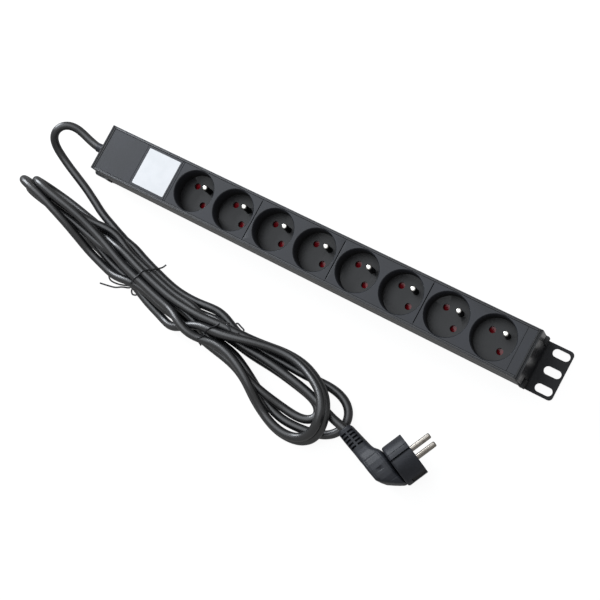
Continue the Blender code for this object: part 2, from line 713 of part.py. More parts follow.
# ---------------------------------------------------------------- cord entry
GLAND_OUT = -OUT_X - GAP
gland = lathe(
    [
        (CORD_R + GAP, GRIP_L + 1.6),
        (CORD_R + 0.9, GRIP_L + 1.6),
        (6.4, 1.6),
        (COLLAR_R, 1.6),
        (COLLAR_R, 0),
        (GLAND_R, 0),
        (GLAND_R, -(OUT_X - END_X) - 2 * GAP),
        (COLLAR_R, -(OUT_X - END_X) - 2 * GAP),
        (COLLAR_R, -(OUT_X - END_X) - 2 * GAP - 1.4),
        (CORD_R + GAP, -(OUT_X - END_X) - 2 * GAP - 1.4),
    ],
    24,
)
turn = Matrix.Rotation(-math.pi / 2, 4, "Y")
turn.translation = (GLAND_OUT, 0, CORD_Z)
node("cord_gland", moved(gland, turn), "plug", smooth=True)

CORD_IN = -END_X + 17.5
arch = arc(0, CORD_Z, CORD_R + GAP, 0, 180, 13)
over = arc(0, CORD_Z, CORD_R + GAP + 2.0, 180, 0, 13)
clamp = [(CORD_R + GAP, TRAY_Z + GAP), *arch, (-CORD_R - GAP, TRAY_Z + GAP)]
clamp += [(-CORD_R - GAP - 2.0, TRAY_Z + GAP), *over, (CORD_R + GAP + 2.0, TRAY_Z + GAP)]
node("cord_clamp", prism([clamp], -END_X + 9, -END_X + 15, "X"), "carrier")


def wire(name, look, radius, y0, z0, end):
    """An insulated wire from the cord's cut end to a busbar's end."""
    points = [(CORD_IN + GAP, y0, z0), (CORD_IN + 5, y0 * 1.3, z0), (CORD_IN + 14, end[1] * 0.3, z0 - 1.5)]
    points += [(end[0] - 22, end[1], end[2]), (end[0] - 10, end[1], end[2]), end]
    node(name, tube(route(points, 4.0), radius, 1), look, smooth=True)


wire("wire_live", "brown", 1.3, 1.6, CORD_Z + 1.0, (BAR_END - GAP, BAR_Y, BAR_Z + BAR_H / 2))
wire("wire_neutral", "blue", 1.3, -1.6, CORD_Z + 1.0, (BAR_END - GAP, -BAR_Y, BAR_Z + BAR_H / 2))
wire("wire_earth", "green", 1.3, 0.0, CORD_Z - 1.9, (BAR_END - 12 - GAP, EARTH_Y, EARTH_BAR_Z + 0.6))

# ---------------------------------------------------------------- cord
GRIP_END = GLAND_OUT - GRIP_L - 1.6
LIE_Z = CORD_R + GAP  # the middle of the cord where it lies on the floor
# Out of the gland, over and round in a half turn, and down: each as (x from the gland's tip, y, z from
# the height at which the cord leaves).
HALF_TURN = [(11.9, 0, 0), (-0.1, 0.2, 0), (-11.1, 2.4, 0.4), (-20.1, 5, 2.6), (-27.6, 6.4, 5.8)]
HALF_TURN += [(-34.6, 5.2, 8.8), (-40.1, 1, 10.6), (-43.4, -5.3, 9.6), (-44.1, -11.3, 5.6)]
HALF_TURN += [(-41.5, -16.9, -0.5), (-35.1, -22.1, -6.4), (-25.1, -27.7, -11), (-13.1, -33.2, -13.8)]
HALF_TURN += [(-0.1, -39.1, -16.2)]
LEAD = [(CORD_IN, 0, CORD_Z), (-END_X, 0, CORD_Z)]
LEAD += [(GRIP_END + x, y, CORD_Z + z) for x, y, z in HALF_TURN]
LEAD += [(-224, -46.1, LIE_Z + 0.3), (-210, -53, LIE_Z), (-190, -60.3, LIE_Z)]
SHOULDER_X = -172.0
LEAD_END = (SHOULDER_X - GAP - 1.2, -65.8, LIE_Z)
node("cord_lead", tube(route([*LEAD, LEAD_END], 10.0), CORD_R), "cord", smooth=True)

# The folded cord's two edges, from left to right, each as (x, y); its far edge steps back for the lead.
FAR_EDGE = [(-270, -50.6), (-240, -56.2), (-200, -64.8), (SHOULDER_X, -71), (SHOULDER_X, -62.2)]
FAR_EDGE += [(-150, -66.7), (-130, -73), (-100, -80.4), (-60, -83.2), (-20, -88.5), (20, -88.2), (52, -89.8)]
FAR_EDGE += [(66, -94), (76, -100.5), (83.6, -108.4)]
NEAR_EDGE = [(PAIR_X, -121.5), (88.3, -133.5), (82.6, -144.2), (73, -151.6), (60, -155.6), (48, -155.4)]
NEAR_EDGE += [(36, -153), (20, -147), (0, -136.2), (-20, -126.8), (-40, -120), (-60, -117.6), (-88, -119.6)]
NEAR_EDGE += [(-100, -118.4), (-130, -109), (-148, -102.8), (-170, -103), (-200, -95), (-240, -77.6)]
NEAR_EDGE += [(-270, -70.4)]
LEFT_END = [(-284, -66.2), (-291, -62.4), (-292.6, -58), (-290, -53.4), (-282, -50.2)]
hank = node("cord_hank", prism([FAR_EDGE + NEAR_EDGE + LEFT_END], 0.3, HANK_H), "cord")
fold = [(-238, -58), (-240, -75.6), (-268, -69), (-283, -65.2), (-289.5, -61.6), (-291.4, -57.8)]
fold += [(-289, -54.4), (-281, -51.6), (-268, -52)]
add(hank, prism([fold[::-1]], 1.0, FOLD_H), "fold")
loop = [(56, -91.2), *arc(76.7, -118, 25.5, 62, -62, 13), (56, -142)]
add(hank, prism([loop], 0.9, LOW_H), "low_loop")

# ---------------------------------------------------------------- plug
side_axis = Vector((math.cos(PLUG_YAW), math.sin(PLUG_YAW), 0.0))
side_axis = side_axis * math.cos(PLUG_ROLL) + Vector((0, 0, math.sin(PLUG_ROLL)))
front_axis = Vector((-math.sin(PLUG_YAW), math.cos(PLUG_YAW), 0.0))
up_axis = side_axis.cross(front_axis)
PLUG = Matrix((side_axis, front_axis, up_axis)).transposed().to_4x4()
PLUG.translation = (*PLUG_XY, PLUG_R + 0.3)


def along_front(mesh):
    """Turn a lathed shape so that its axis runs along the plug's pins."""
    return moved(mesh, Matrix.Rotation(-math.pi / 2, 4, "X"))


disc = lathe(
    [
        (0, 0),
        (PLUG_R - 1.0, 0),
        (PLUG_R, -1.0),
        (PLUG_R, -PLUG_D + 2.0),
        (PLUG_R - 1.6, -PLUG_D),
        (0, -PLUG_D),
    ],
    36,
)
plug = node("plug_body", moved(along_front(disc), PLUG), "plug", smooth=True)

# Sections across the plug's back and neck: x, the middle in y, half the depth, half the height.
BACK_SHAPE = [
    (15.0, -19.7, 1.6, 7.0),
    (9.0, -23.6, 5.6, 11.5),
    (2.0, -26.9, 9.2, 13.8),
    (-6.0, -27.3, 9.7, 13.8),
    (-14.0, -28.0, 9.8, 12.2),
    (-20.0, -29.3, 9.2, 10.0),
    (-24.0, -30.9, 8.0, 8.4),
    (-28.0, -31.7, 7.5, 7.6),
    (-52.0, -34.4, 6.8, 6.8),
]
rings = []
for x, middle, depth, height in BACK_SHAPE:
    ring = []
    for k in range(20):
        angle = math.tau * k / 20
        c, s = math.cos(angle), math.sin(angle)
        square = 0.82 if x > -26 else 1.0
        across = depth * math.copysign(abs(c) ** square, c)
        ring.append((x, middle + across, height * math.copysign(abs(s) ** square, s)))
    rings.append(ring)
add(plug, moved(loft(rings), PLUG), "back")
slits = []
for k in range(5):
    x = -33.0 - 3.5 * k
    middle = -31.7 - (-28 - x) * 0.1125
    for off in (-3.4, 3.4):
        for low, high in ((3.4, 9.0), (-9.0, -3.4)):
            slits.append(box(x - 0.9, x + 0.9, middle + off - 2.3, middle + off + 2.3, low, high))
cut(plug, moved(merge(*slits), PLUG), "slits")
grooves = [box(-3.3, 3.3, -PLUG_D - 0.4, 1, 16.6, 21), box(-3.3, 3.3, -PLUG_D - 0.4, 1, -21, -16.6)]
cut(plug, moved(merge(*grooves), PLUG), "grooves")
pockets = [box(17.0, 21, -14.0, 1, -3.2, 3.2), box(-21, -17.0, -14.0, 1, -3.2, 3.2)]
cut(plug, moved(merge(*pockets), PLUG), "clip_pockets")
bore = along_front(lathe([(0, 1), (PIN_R + GAP, 1), (PIN_R + GAP, -6), (0, -6)], 20))
female = along_front(lathe([(0, 1), (2.8, 1), (2.8, -17), (0, -17)], 20))
bores = [shifted(bore, 0, 0, HOLE_U), shifted(bore, 0, 0, -HOLE_U), shifted(female, EARTH_OFF, 0, 0)]
cut(plug, moved(merge(*bores), PLUG), "bores")

prong = along_front(
    lathe([(0, PIN_L), (1.3, PIN_L), (PIN_R, PIN_L - 1.6), (PIN_R, GAP - 6), (0, GAP - 6)], 20)
)
node("plug_pin_1", moved(shifted(prong, 0, 0, HOLE_U), PLUG), "nickel", smooth=True)
node("plug_pin_2", moved(shifted(prong, 0, 0, -HOLE_U), PLUG), "nickel", smooth=True)
clip = box(17.0 + GAP, 18.3, -14.0 + GAP, -1.2, -3.2 + GAP, 3.2 - GAP)
other = box(-18.3, -17.0 - GAP, -14.0 + GAP, -1.2, -3.2 + GAP, 3.2 - GAP)
node("plug_earth_clip_1", moved(clip, PLUG), "nickel")
node("plug_earth_clip_2", moved(other, PLUG), "nickel")

TIP = PLUG @ Vector((-52.0, -34.4, 0.0))
AXIS = (PLUG.to_3x3() @ Vector((-24.0, -2.7, 0.0))).normalized()
tip_end = TIP + AXIS * (GAP + 0.35)
before = TIP + AXIS * 5.0
tail = [(PAIR_X + GAP + 0.9, -118.4, 14.4), (94, -119.3, 14.6), tuple(before), tuple(tip_end)]
node("cord_tail", tube(route(tail, 5.0), CORD_R), "cord", smooth=True)

# ---------------------------------------------------------------- twist ties
TIE_TOP = HANK_H + GAP + TIE_R
TIE_LOW = TIE_R + 0.3


def tie(name, start, finish, tail_points):
    """A wire over the bundle, from the floor at its start to the floor at its finish, and its tail."""
    (xa, ya), (xb, yb) = start, finish
    points = [(xa, ya, TIE_LOW), (xa, ya, TIE_TOP - 1.5), (xa, ya, TIE_TOP), (xb, yb, TIE_TOP)]
    points += [(xb, yb, TIE_TOP - 1.5), (xb, yb, TIE_LOW + 1.5), (xb, yb, TIE_LOW)]
    node(name, tube([*points, *tail_points], TIE_R, 1), "tie", smooth=True)


tie("twist_tie_1", (-131.0, -71.2), (-146.0, -104.8), [(-160, -108.5, TIE_LOW), (-178, -112.5, TIE_LOW)])
tie("twist_tie_2", (-59.0, -119.3), (-50.0, -82.6), [(-38, -82.6, TIE_LOW), (-26, -85.6, TIE_LOW)])
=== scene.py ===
# %% [markdown]
# # A rack power strip with its cord and plug
#
# Eight shuttered sockets in a 19 inch aluminium strip, a long mains cord laid up in a hank under two wire
# ties, and an angled two-pin plug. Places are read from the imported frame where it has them, in the row
# frame: +X along the strip, +Z out of the sockets, the floor at z = 0. Lengths are in millimetres.

import cmath
import json
import math

import bmesh
import bpy
import numpy as np
from mathutils import Euler, Matrix, Vector
from mathutils.geometry import delaunay_2d_cdt


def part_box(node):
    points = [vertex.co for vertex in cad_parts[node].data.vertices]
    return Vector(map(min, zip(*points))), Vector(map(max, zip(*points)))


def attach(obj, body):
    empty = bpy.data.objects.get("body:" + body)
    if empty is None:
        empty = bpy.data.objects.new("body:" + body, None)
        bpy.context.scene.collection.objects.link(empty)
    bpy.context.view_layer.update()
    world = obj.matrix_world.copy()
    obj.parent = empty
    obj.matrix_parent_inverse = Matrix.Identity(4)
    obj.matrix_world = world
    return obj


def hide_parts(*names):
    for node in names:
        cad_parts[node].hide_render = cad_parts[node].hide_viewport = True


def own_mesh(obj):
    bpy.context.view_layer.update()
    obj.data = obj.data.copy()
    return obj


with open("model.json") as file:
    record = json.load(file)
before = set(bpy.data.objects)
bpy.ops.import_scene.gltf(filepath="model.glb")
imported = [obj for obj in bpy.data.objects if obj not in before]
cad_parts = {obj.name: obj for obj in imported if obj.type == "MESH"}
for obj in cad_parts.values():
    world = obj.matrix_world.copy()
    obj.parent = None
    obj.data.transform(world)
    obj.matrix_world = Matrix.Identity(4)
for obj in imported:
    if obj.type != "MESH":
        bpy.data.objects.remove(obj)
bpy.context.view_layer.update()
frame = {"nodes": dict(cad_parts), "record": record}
MM = 0.001

# %% [markdown]
# ## Sizes read from the frame
#
# The part's own boxes say where each piece lies. A piece made here asks for the box of the piece that it
# stands on, so it follows if that piece is ever made another size.


# %% Where the main pieces lie
def span(node):
    """The lowest and highest corner of a CAD node, in millimetres."""
    low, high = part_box(node)
    return np.array(low) / MM, np.array(high) / MM


END_X, HALF_W, LIP_Z = span("profile")[1]
FACE_Z = span("module_1")[1][2]
COUNT = 8
shutters = [span("shutter_%d" % k) for k in range(1, COUNT + 1)]
SOCKETS = [(low[0] + high[0]) / 2 for low, high in shutters]
pins = [span("earth_pin_%d" % k) for k in range(1, COUNT + 1)]
PITCH = (SOCKETS[-1] - SOCKETS[0]) / (COUNT - 1)
ROW_X = SOCKETS[0] - PITCH / 2
RECESS_R = 19.0
PIN_R = 2.4
PIN_TOP = pins[0][1][2]
CAP_THICK = 3.5
LEG_X = END_X + CAP_THICK
print("ear legs' outer faces at", round(LEG_X, 2), "earth pins' tops at", round(PIN_TOP, 2))
print("socket centres", np.round(SOCKETS, 2), "pitch", round(PITCH, 3), "face at", FACE_Z, "lips at", LIP_Z)

# %% [markdown]
# ## The camera
#
# The strip is seen from above its right end, turned so that it runs down across the picture. The lens and
# the place were solved from the strip's own corners, its ears' slots and its eight recesses.

# %% Camera
def added(name, data):
    """A new object in the scene."""
    made = bpy.data.objects.new(name, data)
    bpy.context.scene.collection.objects.link(made)
    return made


camera = added("camera", bpy.data.cameras.new("camera"))
camera.location = (0.38219, -0.09647, 0.96432)
camera.rotation_euler = Euler([math.radians(a) for a in (13.0496, 17.2306, 29.6023)])
camera.data.lens = 70.351
camera.data.sensor_width = 36.0
camera.data.clip_start = 0.02
bpy.context.scene.camera = camera
print("camera", tuple(round(c, 3) for c in camera.location), "lens", camera.data.lens)

# %% [markdown]
# ## Surfaces made by formula
#
# Most pieces are turned, swept or lofted, so each is a grid of points given by a formula. `Skin` keeps the
# points in millimetres and the faces as rows of numbers, and `build` joins skins into one closed mesh.


# %% Grids, caps and turned shapes
def grid(points):
    """Faces between the rows of a (rows, columns, 3) grid, its last column joined to its first."""
    rows, cols = points.shape[:2]
    row = np.arange(rows - 1)[:, None]
    col = np.arange(cols)[None, :]
    a = row * cols + col
    b = row * cols + (col + 1) % cols
    return points.reshape(-1, 3), np.stack([a, b, b + cols, a + cols], -1).reshape(-1, 4)


def fan(loop):
    """A flat cap over a loop of points, as triangles from its middle."""
    count = len(loop)
    points = np.vstack([loop, loop.mean(axis=0)])
    here = np.arange(count)
    return points, np.stack([here, (here + 1) % count, np.full(count, count)], -1)


def plate(outer, holes, height):
    """Triangles over a flat outline with holes: outer and holes are (n, 2) loops, height is a number."""
    loops = [outer, *holes]
    points = np.vstack(loops)
    edges = []
    at = 0
    for loop in loops:
        here = np.arange(len(loop)) + at
        edges += np.stack([here, np.roll(here, -1)], -1).tolist()
        at += len(loop)
    verts, _, faces, *_ = delaunay_2d_cdt([Vector(p) for p in points], edges, [], 2, 1e-7)
    flat = np.array([(v.x, v.y) for v in verts])
    return np.column_stack([flat, np.full(len(flat), height)]), np.array(faces)


def rounded(corners, closed=False, steps=5):
    """A profile of (a, b, radius) corners, each corner replaced by an arc of that radius that touches both
    of its sides. A place is the complex number a + bi, so a turn is a product."""
    places = [complex(a, b) for a, b, _ in corners]
    out = []
    for i, here in enumerate(places):
        radius = corners[i][2]
        if radius <= 0 or (not closed and i in (0, len(places) - 1)):
            out.append(here)
            continue
        sides = [places[i - 1] - here, places[(i + 1) % len(places)] - here]
        before, after = [side / abs(side) for side in sides]
        half = abs(cmath.phase(after / before)) / 2
        reach = min(radius / math.tan(half), 0.49 * abs(sides[0]), 0.49 * abs(sides[1]))
        middle = here + (before + after) / abs(before + after) * reach / math.cos(half)
        first, last = here + before * reach - middle, here + after * reach - middle
        turn = cmath.phase(last / first)
        out += [middle + first * cmath.rect(1, turn * k / steps) for k in range(steps + 1)]
    return np.array([(place.real, place.imag) for place in out])


def whole_turn(steps):
    """Equal angles once round, in radians."""
    return np.linspace(0, 2 * math.pi, steps, endpoint=False)


def turned(profile, steps):
    """A profile of (radius, height) points turned about the Z axis: x = r cos a, y = r sin a, z = h."""
    angle = whole_turn(steps)
    radius, height = np.asarray(profile, float).T
    x = radius[:, None] * np.cos(angle)
    y = radius[:, None] * np.sin(angle)
    return grid(np.stack([x, y, np.repeat(height[:, None], steps, 1)], -1))


def placed(skin, matrix):
    """A skin moved by a 4x4 matrix in millimetres."""
    points, faces = skin
    matrix = np.array(matrix)
    return points @ matrix[:3, :3].T + matrix[:3, 3], faces


def circle(cx, cy, radius, steps):
    """Points round a circle."""
    angle = whole_turn(steps)
    return np.column_stack([cx + radius * np.cos(angle), cy + radius * np.sin(angle)])


def ramp(value, limit, over):
    """1 while value is well under limit, falling to 0 at limit in a straight ramp."""
    return np.clip((limit - value) / over, 0, 1)


# %% Joining skins into one closed piece
MERGE = 0.002


def build(name, skins, finish, replaced, edge):
    """One piece of the strip from its skins: points shared, normals outwards, smooth except over edges
    sharper than edge degrees, with its own finish. replaced names the CAD nodes that it stands for."""
    points, faces, at = [], [], 0
    for verts, sides in skins:
        points.append(verts)
        for group in sides if isinstance(sides, list) else [sides]:
            faces += (group + at).tolist()
        at += len(verts)
    mesh = bpy.data.meshes.new(name)
    mesh.from_pydata((np.vstack(points) * MM).tolist(), [], faces)
    work = bmesh.new()
    work.from_mesh(mesh)
    bmesh.ops.remove_doubles(work, verts=work.verts, dist=MERGE * MM)
    bmesh.ops.dissolve_degenerate(work, edges=work.edges, dist=MERGE * MM / 2)
    bmesh.ops.recalc_face_normals(work, faces=work.faces)
    if work.calc_volume(signed=True) < 0:
        bmesh.ops.reverse_faces(work, faces=work.faces)
    work.to_mesh(mesh)
    work.free()
    return finished(name, mesh, finish, "strip", replaced, edge, 0.0)


def finished(name, mesh, finish, body, replaced, edge, bevel):
    """Shade a mesh, round its sharp edges by a bevel, give it its finish and its body, and say what it came
    to, with its open edges counted."""
    work = bmesh.new()
    work.from_mesh(mesh)
    rims = sum(e.is_boundary for e in work.edges)
    work.free()
    mesh.polygons.foreach_set("use_smooth", np.ones(len(mesh.polygons), bool))
    mesh.set_sharp_from_angle(angle=math.radians(edge))
    mesh.materials.clear()
    mesh.materials.append(finish)
    piece = added(name, mesh)
    if bevel > 0:
        rounding = piece.modifiers.new("rounding", "BEVEL")
        rounding.width = bevel * MM
        rounding.segments = 2
        rounding.limit_method = "ANGLE"
        rounding.angle_limit = math.radians(edge)
        rounding.miter_outer = "MITER_ARC"
    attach(piece, body)
    if replaced:
        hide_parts(*replaced)
    print("%-22s %6d faces, %d open edges" % (name, len(mesh.polygons), rims))
    return piece


# %% [markdown]
# ## Finishes
#
# A finish is a Principled shader whose colour, roughness and bump are worked out from where a point lies on
# the piece. `Value` lets that be written as arithmetic, and `Finish` keeps one material's nodes.


# %% Shader arithmetic
class Value:
    """A number, vector or colour inside a shader. Arithmetic on it adds the node that does it."""

    def __init__(self, tree, socket):
        self.tree = tree
        self.socket = socket

    def through(self, kind, setting, choice, *others):
        """This value through a node of a kind, with one setting: it is the first input, others the next."""
        node = self.tree.nodes.new("ShaderNode" + kind)
        setattr(node, setting, choice)
        for entry, value in zip(node.inputs, (self, *others)):
            put(self.tree, entry, value)
        return Value(self.tree, node.outputs[0])

    def maths(self, operation, *others):
        """One Math node, with this value first."""
        return self.through("Math", "operation", operation, *others)

    def __add__(self, other):
        return self.maths("ADD", other)

    def __sub__(self, other):
        return self.maths("SUBTRACT", other)

    def __rsub__(self, other):
        return self * -1.0 + other

    def __mul__(self, other):
        return self.maths("MULTIPLY", other)

    def __truediv__(self, other):
        return self.maths("DIVIDE", other)

    def __abs__(self):
        return self.maths("ABSOLUTE")

    __radd__ = __add__
    __rmul__ = __mul__

    def within(self, low, high):
        """0 at low and below, 1 at high and above, smooth between."""
        return self.through("MapRange", "interpolation_type", "SMOOTHSTEP", low, high, 0.0, 1.0)

    def scaled(self, x, y, z):
        """A vector with each axis multiplied by its own number."""
        return self.through("VectorMath", "operation", "MULTIPLY", (x, y, z))

    def moved(self, by):
        """A vector with another added."""
        return self.through("VectorMath", "operation", "ADD", by)


def put(tree, entry, value):
    """Set an input to a number or colour, or link a Value to it."""
    if isinstance(value, Value):
        tree.links.new(value.socket, entry)
    else:
        entry.default_value = value


def tone(red, green, blue):
    """A colour given as 0 to 255 in sRGB, turned to the shader's linear values."""
    srgb = np.array((red, green, blue)) / 255
    linear = np.where(srgb <= 0.04045, srgb / 12.92, ((srgb + 0.055) / 1.055) ** 2.4)
    return (*linear.tolist(), 1.0)


class Finish:
    """One material: its shader, the place on the piece in millimetres, and what varies over it."""

    def __init__(self, name, slot, **shader):
        self.material = bpy.data.materials.new(name)
        self.material.use_nodes = True
        self.material["slot"] = slot
        self.tree = self.material.node_tree
        self.shader = self.tree.nodes["Principled BSDF"]
        for entry, value in shader.items():
            self.shader.inputs[entry.replace("_", " ")].default_value = value
        self.at = self.node("ShaderNodeTexCoord", "Object").scaled(1 / MM, 1 / MM, 1 / MM)
        axes = self.tree.nodes.new("ShaderNodeSeparateXYZ")
        put(self.tree, axes.inputs[0], self.at)
        self.x, self.y, self.z = [Value(self.tree, axis) for axis in axes.outputs]

    def node(self, kind, output=0, settings=None, **entries):
        """Any node, its settings and then its inputs given by name; gives one of its outputs."""
        made = self.tree.nodes.new(kind)
        for key, value in (settings or {}).items():
            setattr(made, key, value)
        for key, value in entries.items():
            put(self.tree, made.inputs[key.replace("_", " ")], value)
        return Value(self.tree, made.outputs[output])

    def noise(self, at, size, detail=3.0, rough=0.55):
        """Soft noise from 0 to 1, its lumps about size millimetres across."""
        entries = {"Vector": at, "Scale": 1 / size, "Detail": detail, "Roughness": rough}
        return self.node("ShaderNodeTexNoise", **entries)

    def mix(self, share, first, second):
        """A colour between two, by a share from 0 to 1."""
        made = self.tree.nodes.new("ShaderNodeMix")
        made.data_type = "RGBA"
        for entry, value in ((0, share), (6, first), (7, second)):
            put(self.tree, made.inputs[entry], value)
        return Value(self.tree, made.outputs[2])

    def set(self, colour, roughness, height):
        """Plug in what varies. height is in millimetres."""
        bump = self.node("ShaderNodeBump", Strength=1.0, Distance=MM, Height=height)
        for entry, value in (("Base Color", colour), ("Roughness", roughness), ("Normal", bump)):
            put(self.tree, self.shader.inputs[entry], value)
        return self.material


# %% [markdown]
# ### Insert plastic
#
# The socket inserts are moulded in a tool whose faces are spark eroded, so they have a fine even grain with
# no direction, a little duller where the tool is cut deeper. Handling polishes the rims first. The recesses
# are painted darker with depth, nearly black at the bottom: painted shade.


# %% Insert plastic
def insert_plastic():
    """Dark grey moulded plastic with a fine spark-eroded grain, polished round the socket rims, and painted
    shade that darkens the recesses towards black with depth.
    """
    f = Finish("insert_plastic_grain", "insert_plastic", Specular_IOR_Level=0.5)
    cloud = f.noise(f.at, 28.0, 2.0)
    grain = f.noise(f.at, 0.45, 2.0, 0.6)
    speck = f.noise(f.at.moved((7.0, 3.0, 1.0)), 0.16, 1.0)
    step = (f.x - ROW_X) / PITCH
    across = (step - step.maths("FLOOR") - 0.5) * PITCH
    ring = (across * across + f.y * f.y).maths("SQRT")
    rim = ring.within(RECESS_R - 0.3, RECESS_R + 0.1) * (1 - ring.within(RECESS_R + 0.5, RECESS_R + 1.1))
    row_end = ROW_X + COUNT * PITCH
    row = f.x.within(ROW_X, ROW_X + 0.5) * (1 - f.x.within(row_end - 0.5, row_end))
    rim = rim * row * f.z.within(FACE_Z - 1.2, FACE_Z - 0.2)
    # Painted shade: the colour falls to near black with depth in the recesses, standing in for the shade there.
    painted_recess_shade = 1 - f.z.within(FACE_Z - 14.0, FACE_Z - 1.0)
    colour = f.mix(cloud.within(0.3, 0.7), tone(20, 23, 30), tone(25, 28, 37))
    colour = f.mix(painted_recess_shade * 0.95, colour, tone(2, 2, 4))
    colour = f.mix(rim * 0.4, colour, tone(38, 40, 45))
    wall = ring.within(RECESS_R - 0.5, RECESS_R - 0.15) * (1 - f.z.within(FACE_Z - 1.0, FACE_Z - 0.4)) * row
    wall = wall * f.z.within(FACE_Z - 16.5, FACE_Z - 14.5)
    roughness = 0.4 + 0.1 * (grain - 0.5) + 0.06 * cloud - 0.1 * rim + 0.55 * wall
    return f.set(colour, roughness, height=0.02 * grain + 0.008 * speck)


# %% [markdown]
# ### Anodised aluminium
#
# The profile is an extrusion: the die leaves faint lines along it, which anodising dulls but doesn't hide.
# Noise that is squeezed across the strip and stretched along it gives such lines.


# %% Anodised aluminium
def anodised():
    """Grey anodised extrusion: die lines along X, bright where the lips' edges have been rubbed."""
    f = Finish("anodised_profile", "anodised_aluminium", Metallic=0.55, Specular_IOR_Level=0.5)
    lines = f.noise(f.at.scaled(0.004, 1.0, 1.0), 0.5, 4.0, 0.7)
    wide = f.noise(f.at.scaled(0.006, 1.0, 1.0), 3.5, 2.0)
    cloud = f.noise(f.at, 45.0, 2.0)
    top = f.z.within(LIP_Z - 0.5, LIP_Z - 0.05)
    edge = abs(f.y).within(HALF_W - 0.4, HALF_W - 0.05) * f.z.within(LIP_Z - 0.7, LIP_Z - 0.1)
    colour = f.mix(wide.within(0.3, 0.7), tone(76, 76, 77), tone(92, 92, 92))
    colour = f.mix(cloud.within(0.35, 0.65) * 0.3, colour, tone(74, 72, 68))
    colour = f.mix(top * 0.5, colour, tone(50, 52, 57))
    colour = f.mix(edge * (0.4 + 0.4 * cloud), colour, tone(112, 113, 114))
    roughness = 0.44 + 0.14 * (lines - 0.5) + 0.05 * cloud - 0.08 * edge
    return f.set(colour, roughness, height=0.03 * lines + 0.02 * wide)


# %% [markdown]
# ### Painted steel
#
# The rack ears are bent from sheet and powder coated. Powder melts into a soft orange peel. The bends are
# painted a little lighter: a painted highlight along each bend. The legs' outer faces have a clear coat, which
# shines at a low angle and leaves the paint dark from in front.


# %% Painted steel
def powder_coat():
    """Near-black powder coat with orange peel and a painted highlight along the bends, under a clear coat on
    the legs' outer faces.
    """
    f = Finish("powder_coat", "painted_steel", Specular_IOR_Level=0.26, Coat_Roughness=0.22)
    peel = f.noise(f.at, 0.9, 2.0, 0.5)
    fine = f.noise(f.at, 0.25, 1.0)
    cloud = f.noise(f.at, 18.0, 2.0)
    # Painted highlight: the colour is lighter along the bend between ear and leg, 2.2 to 7 mm up.
    bend = f.z.within(2.2, 3.4) * (1 - f.z.within(4.2, 7.0))
    colour = f.mix(cloud.within(0.3, 0.7), tone(13, 14, 17), tone(19, 20, 24))
    colour = f.mix(bend * 0.3, colour, tone(48, 51, 56))
    leg = abs(f.x).within(LEG_X - 0.25, LEG_X - 0.1) * (1 - abs(f.x).within(LEG_X + 0.4, LEG_X + 0.9))
    sheen = f.noise(f.at.scaled(1.0, 1.0, 0.7), 15.0, 1.0).within(0.38, 0.62)
    high = f.z.within(3.0, 22.0)
    put(f.tree, f.shader.inputs["Coat Weight"], leg * (0.7 + 0.3 * sheen * high))
    roughness = 0.4 + 0.12 * (peel - 0.5) + 0.06 * cloud
    return f.set(colour, roughness, height=0.035 * peel + 0.006 * fine)


# %% [markdown]
# ### Other plastics, and metals
#
# The end caps are satin black nylon, the hidden carriers are natural grey nylon, and the shutters are
# moulded in glossy red so that they show in the holes. Springs, bars, clips and pins are drawn or rolled
# metal, with fine lines and soft tarnish. The plug's earth clips are painted near black as painted shade, and
# the earth pins carry a painted highlight on the nose and painted shade on the shaft.


# %% Other plastics, and metals
def moulded(name, slot, dark, light, roughness, grain_size=0.5, depth=0.02):
    """A moulded plastic: a slow drift between two tones, and an even grain."""
    f = Finish(name, slot, Specular_IOR_Level=0.5)
    cloud = f.noise(f.at, 14.0, 2.0)
    grain = f.noise(f.at, grain_size, 2.0)
    flow = f.noise(f.at.scaled(0.25, 1.0, 1.0), 3.0, 2.0)
    colour = f.mix(cloud.within(0.3, 0.7) * 0.7 + flow * 0.3, tone(*dark), tone(*light))
    return f.set(colour, roughness + 0.1 * (grain - 0.5) + 0.05 * cloud, height=depth * grain)


def metal(name, slot, dark, light, roughness, along=0.05):
    """A drawn or rolled metal: fine lines along X, tarnish in soft patches."""
    f = Finish(name, slot, Metallic=1.0)
    lines = f.noise(f.at.scaled(along, 1.0, 1.0), 0.25, 3.0, 0.6)
    cloud = f.noise(f.at, 5.0, 3.0)
    colour = f.mix(cloud.within(0.3, 0.75), tone(*light), tone(*dark))
    return f.set(colour, roughness + 0.12 * (lines - 0.5) + 0.08 * cloud, height=0.01 * lines)


def pin_nickel_painted_light():
    """The earth pins' nickel: a painted highlight on the nose, and painted shade, near black, on the shaft
    below.
    """
    f = Finish("earth_pin_nickel", "nickel_plate", Metallic=1.0)
    rings = f.noise(f.at.scaled(0.3, 0.3, 1.0), 0.3, 3.0, 0.6)
    # Painted light: the nose is painted bright nickel as a highlight, the shaft below it near black as shade.
    nose = f.z.within(PIN_TOP - 3.0, PIN_TOP - 1.4)
    colour = f.mix(nose, tone(14, 14, 16), tone(222, 220, 214))
    colour = f.mix(rings.within(0.6, 0.8) * 0.3, colour, tone(60, 58, 56))
    return f.set(colour, 0.34 - 0.12 * nose + 0.1 * (rings - 0.5), height=0.01 * rings)


# %% [markdown]
# ### Cord sheath and plug rubber
#
# The sheath is extruded, so its marks run along it however it bends. The cord carries its own straightened
# place as an attribute: distance round the sheath and distance along it, and the noise is read from that.


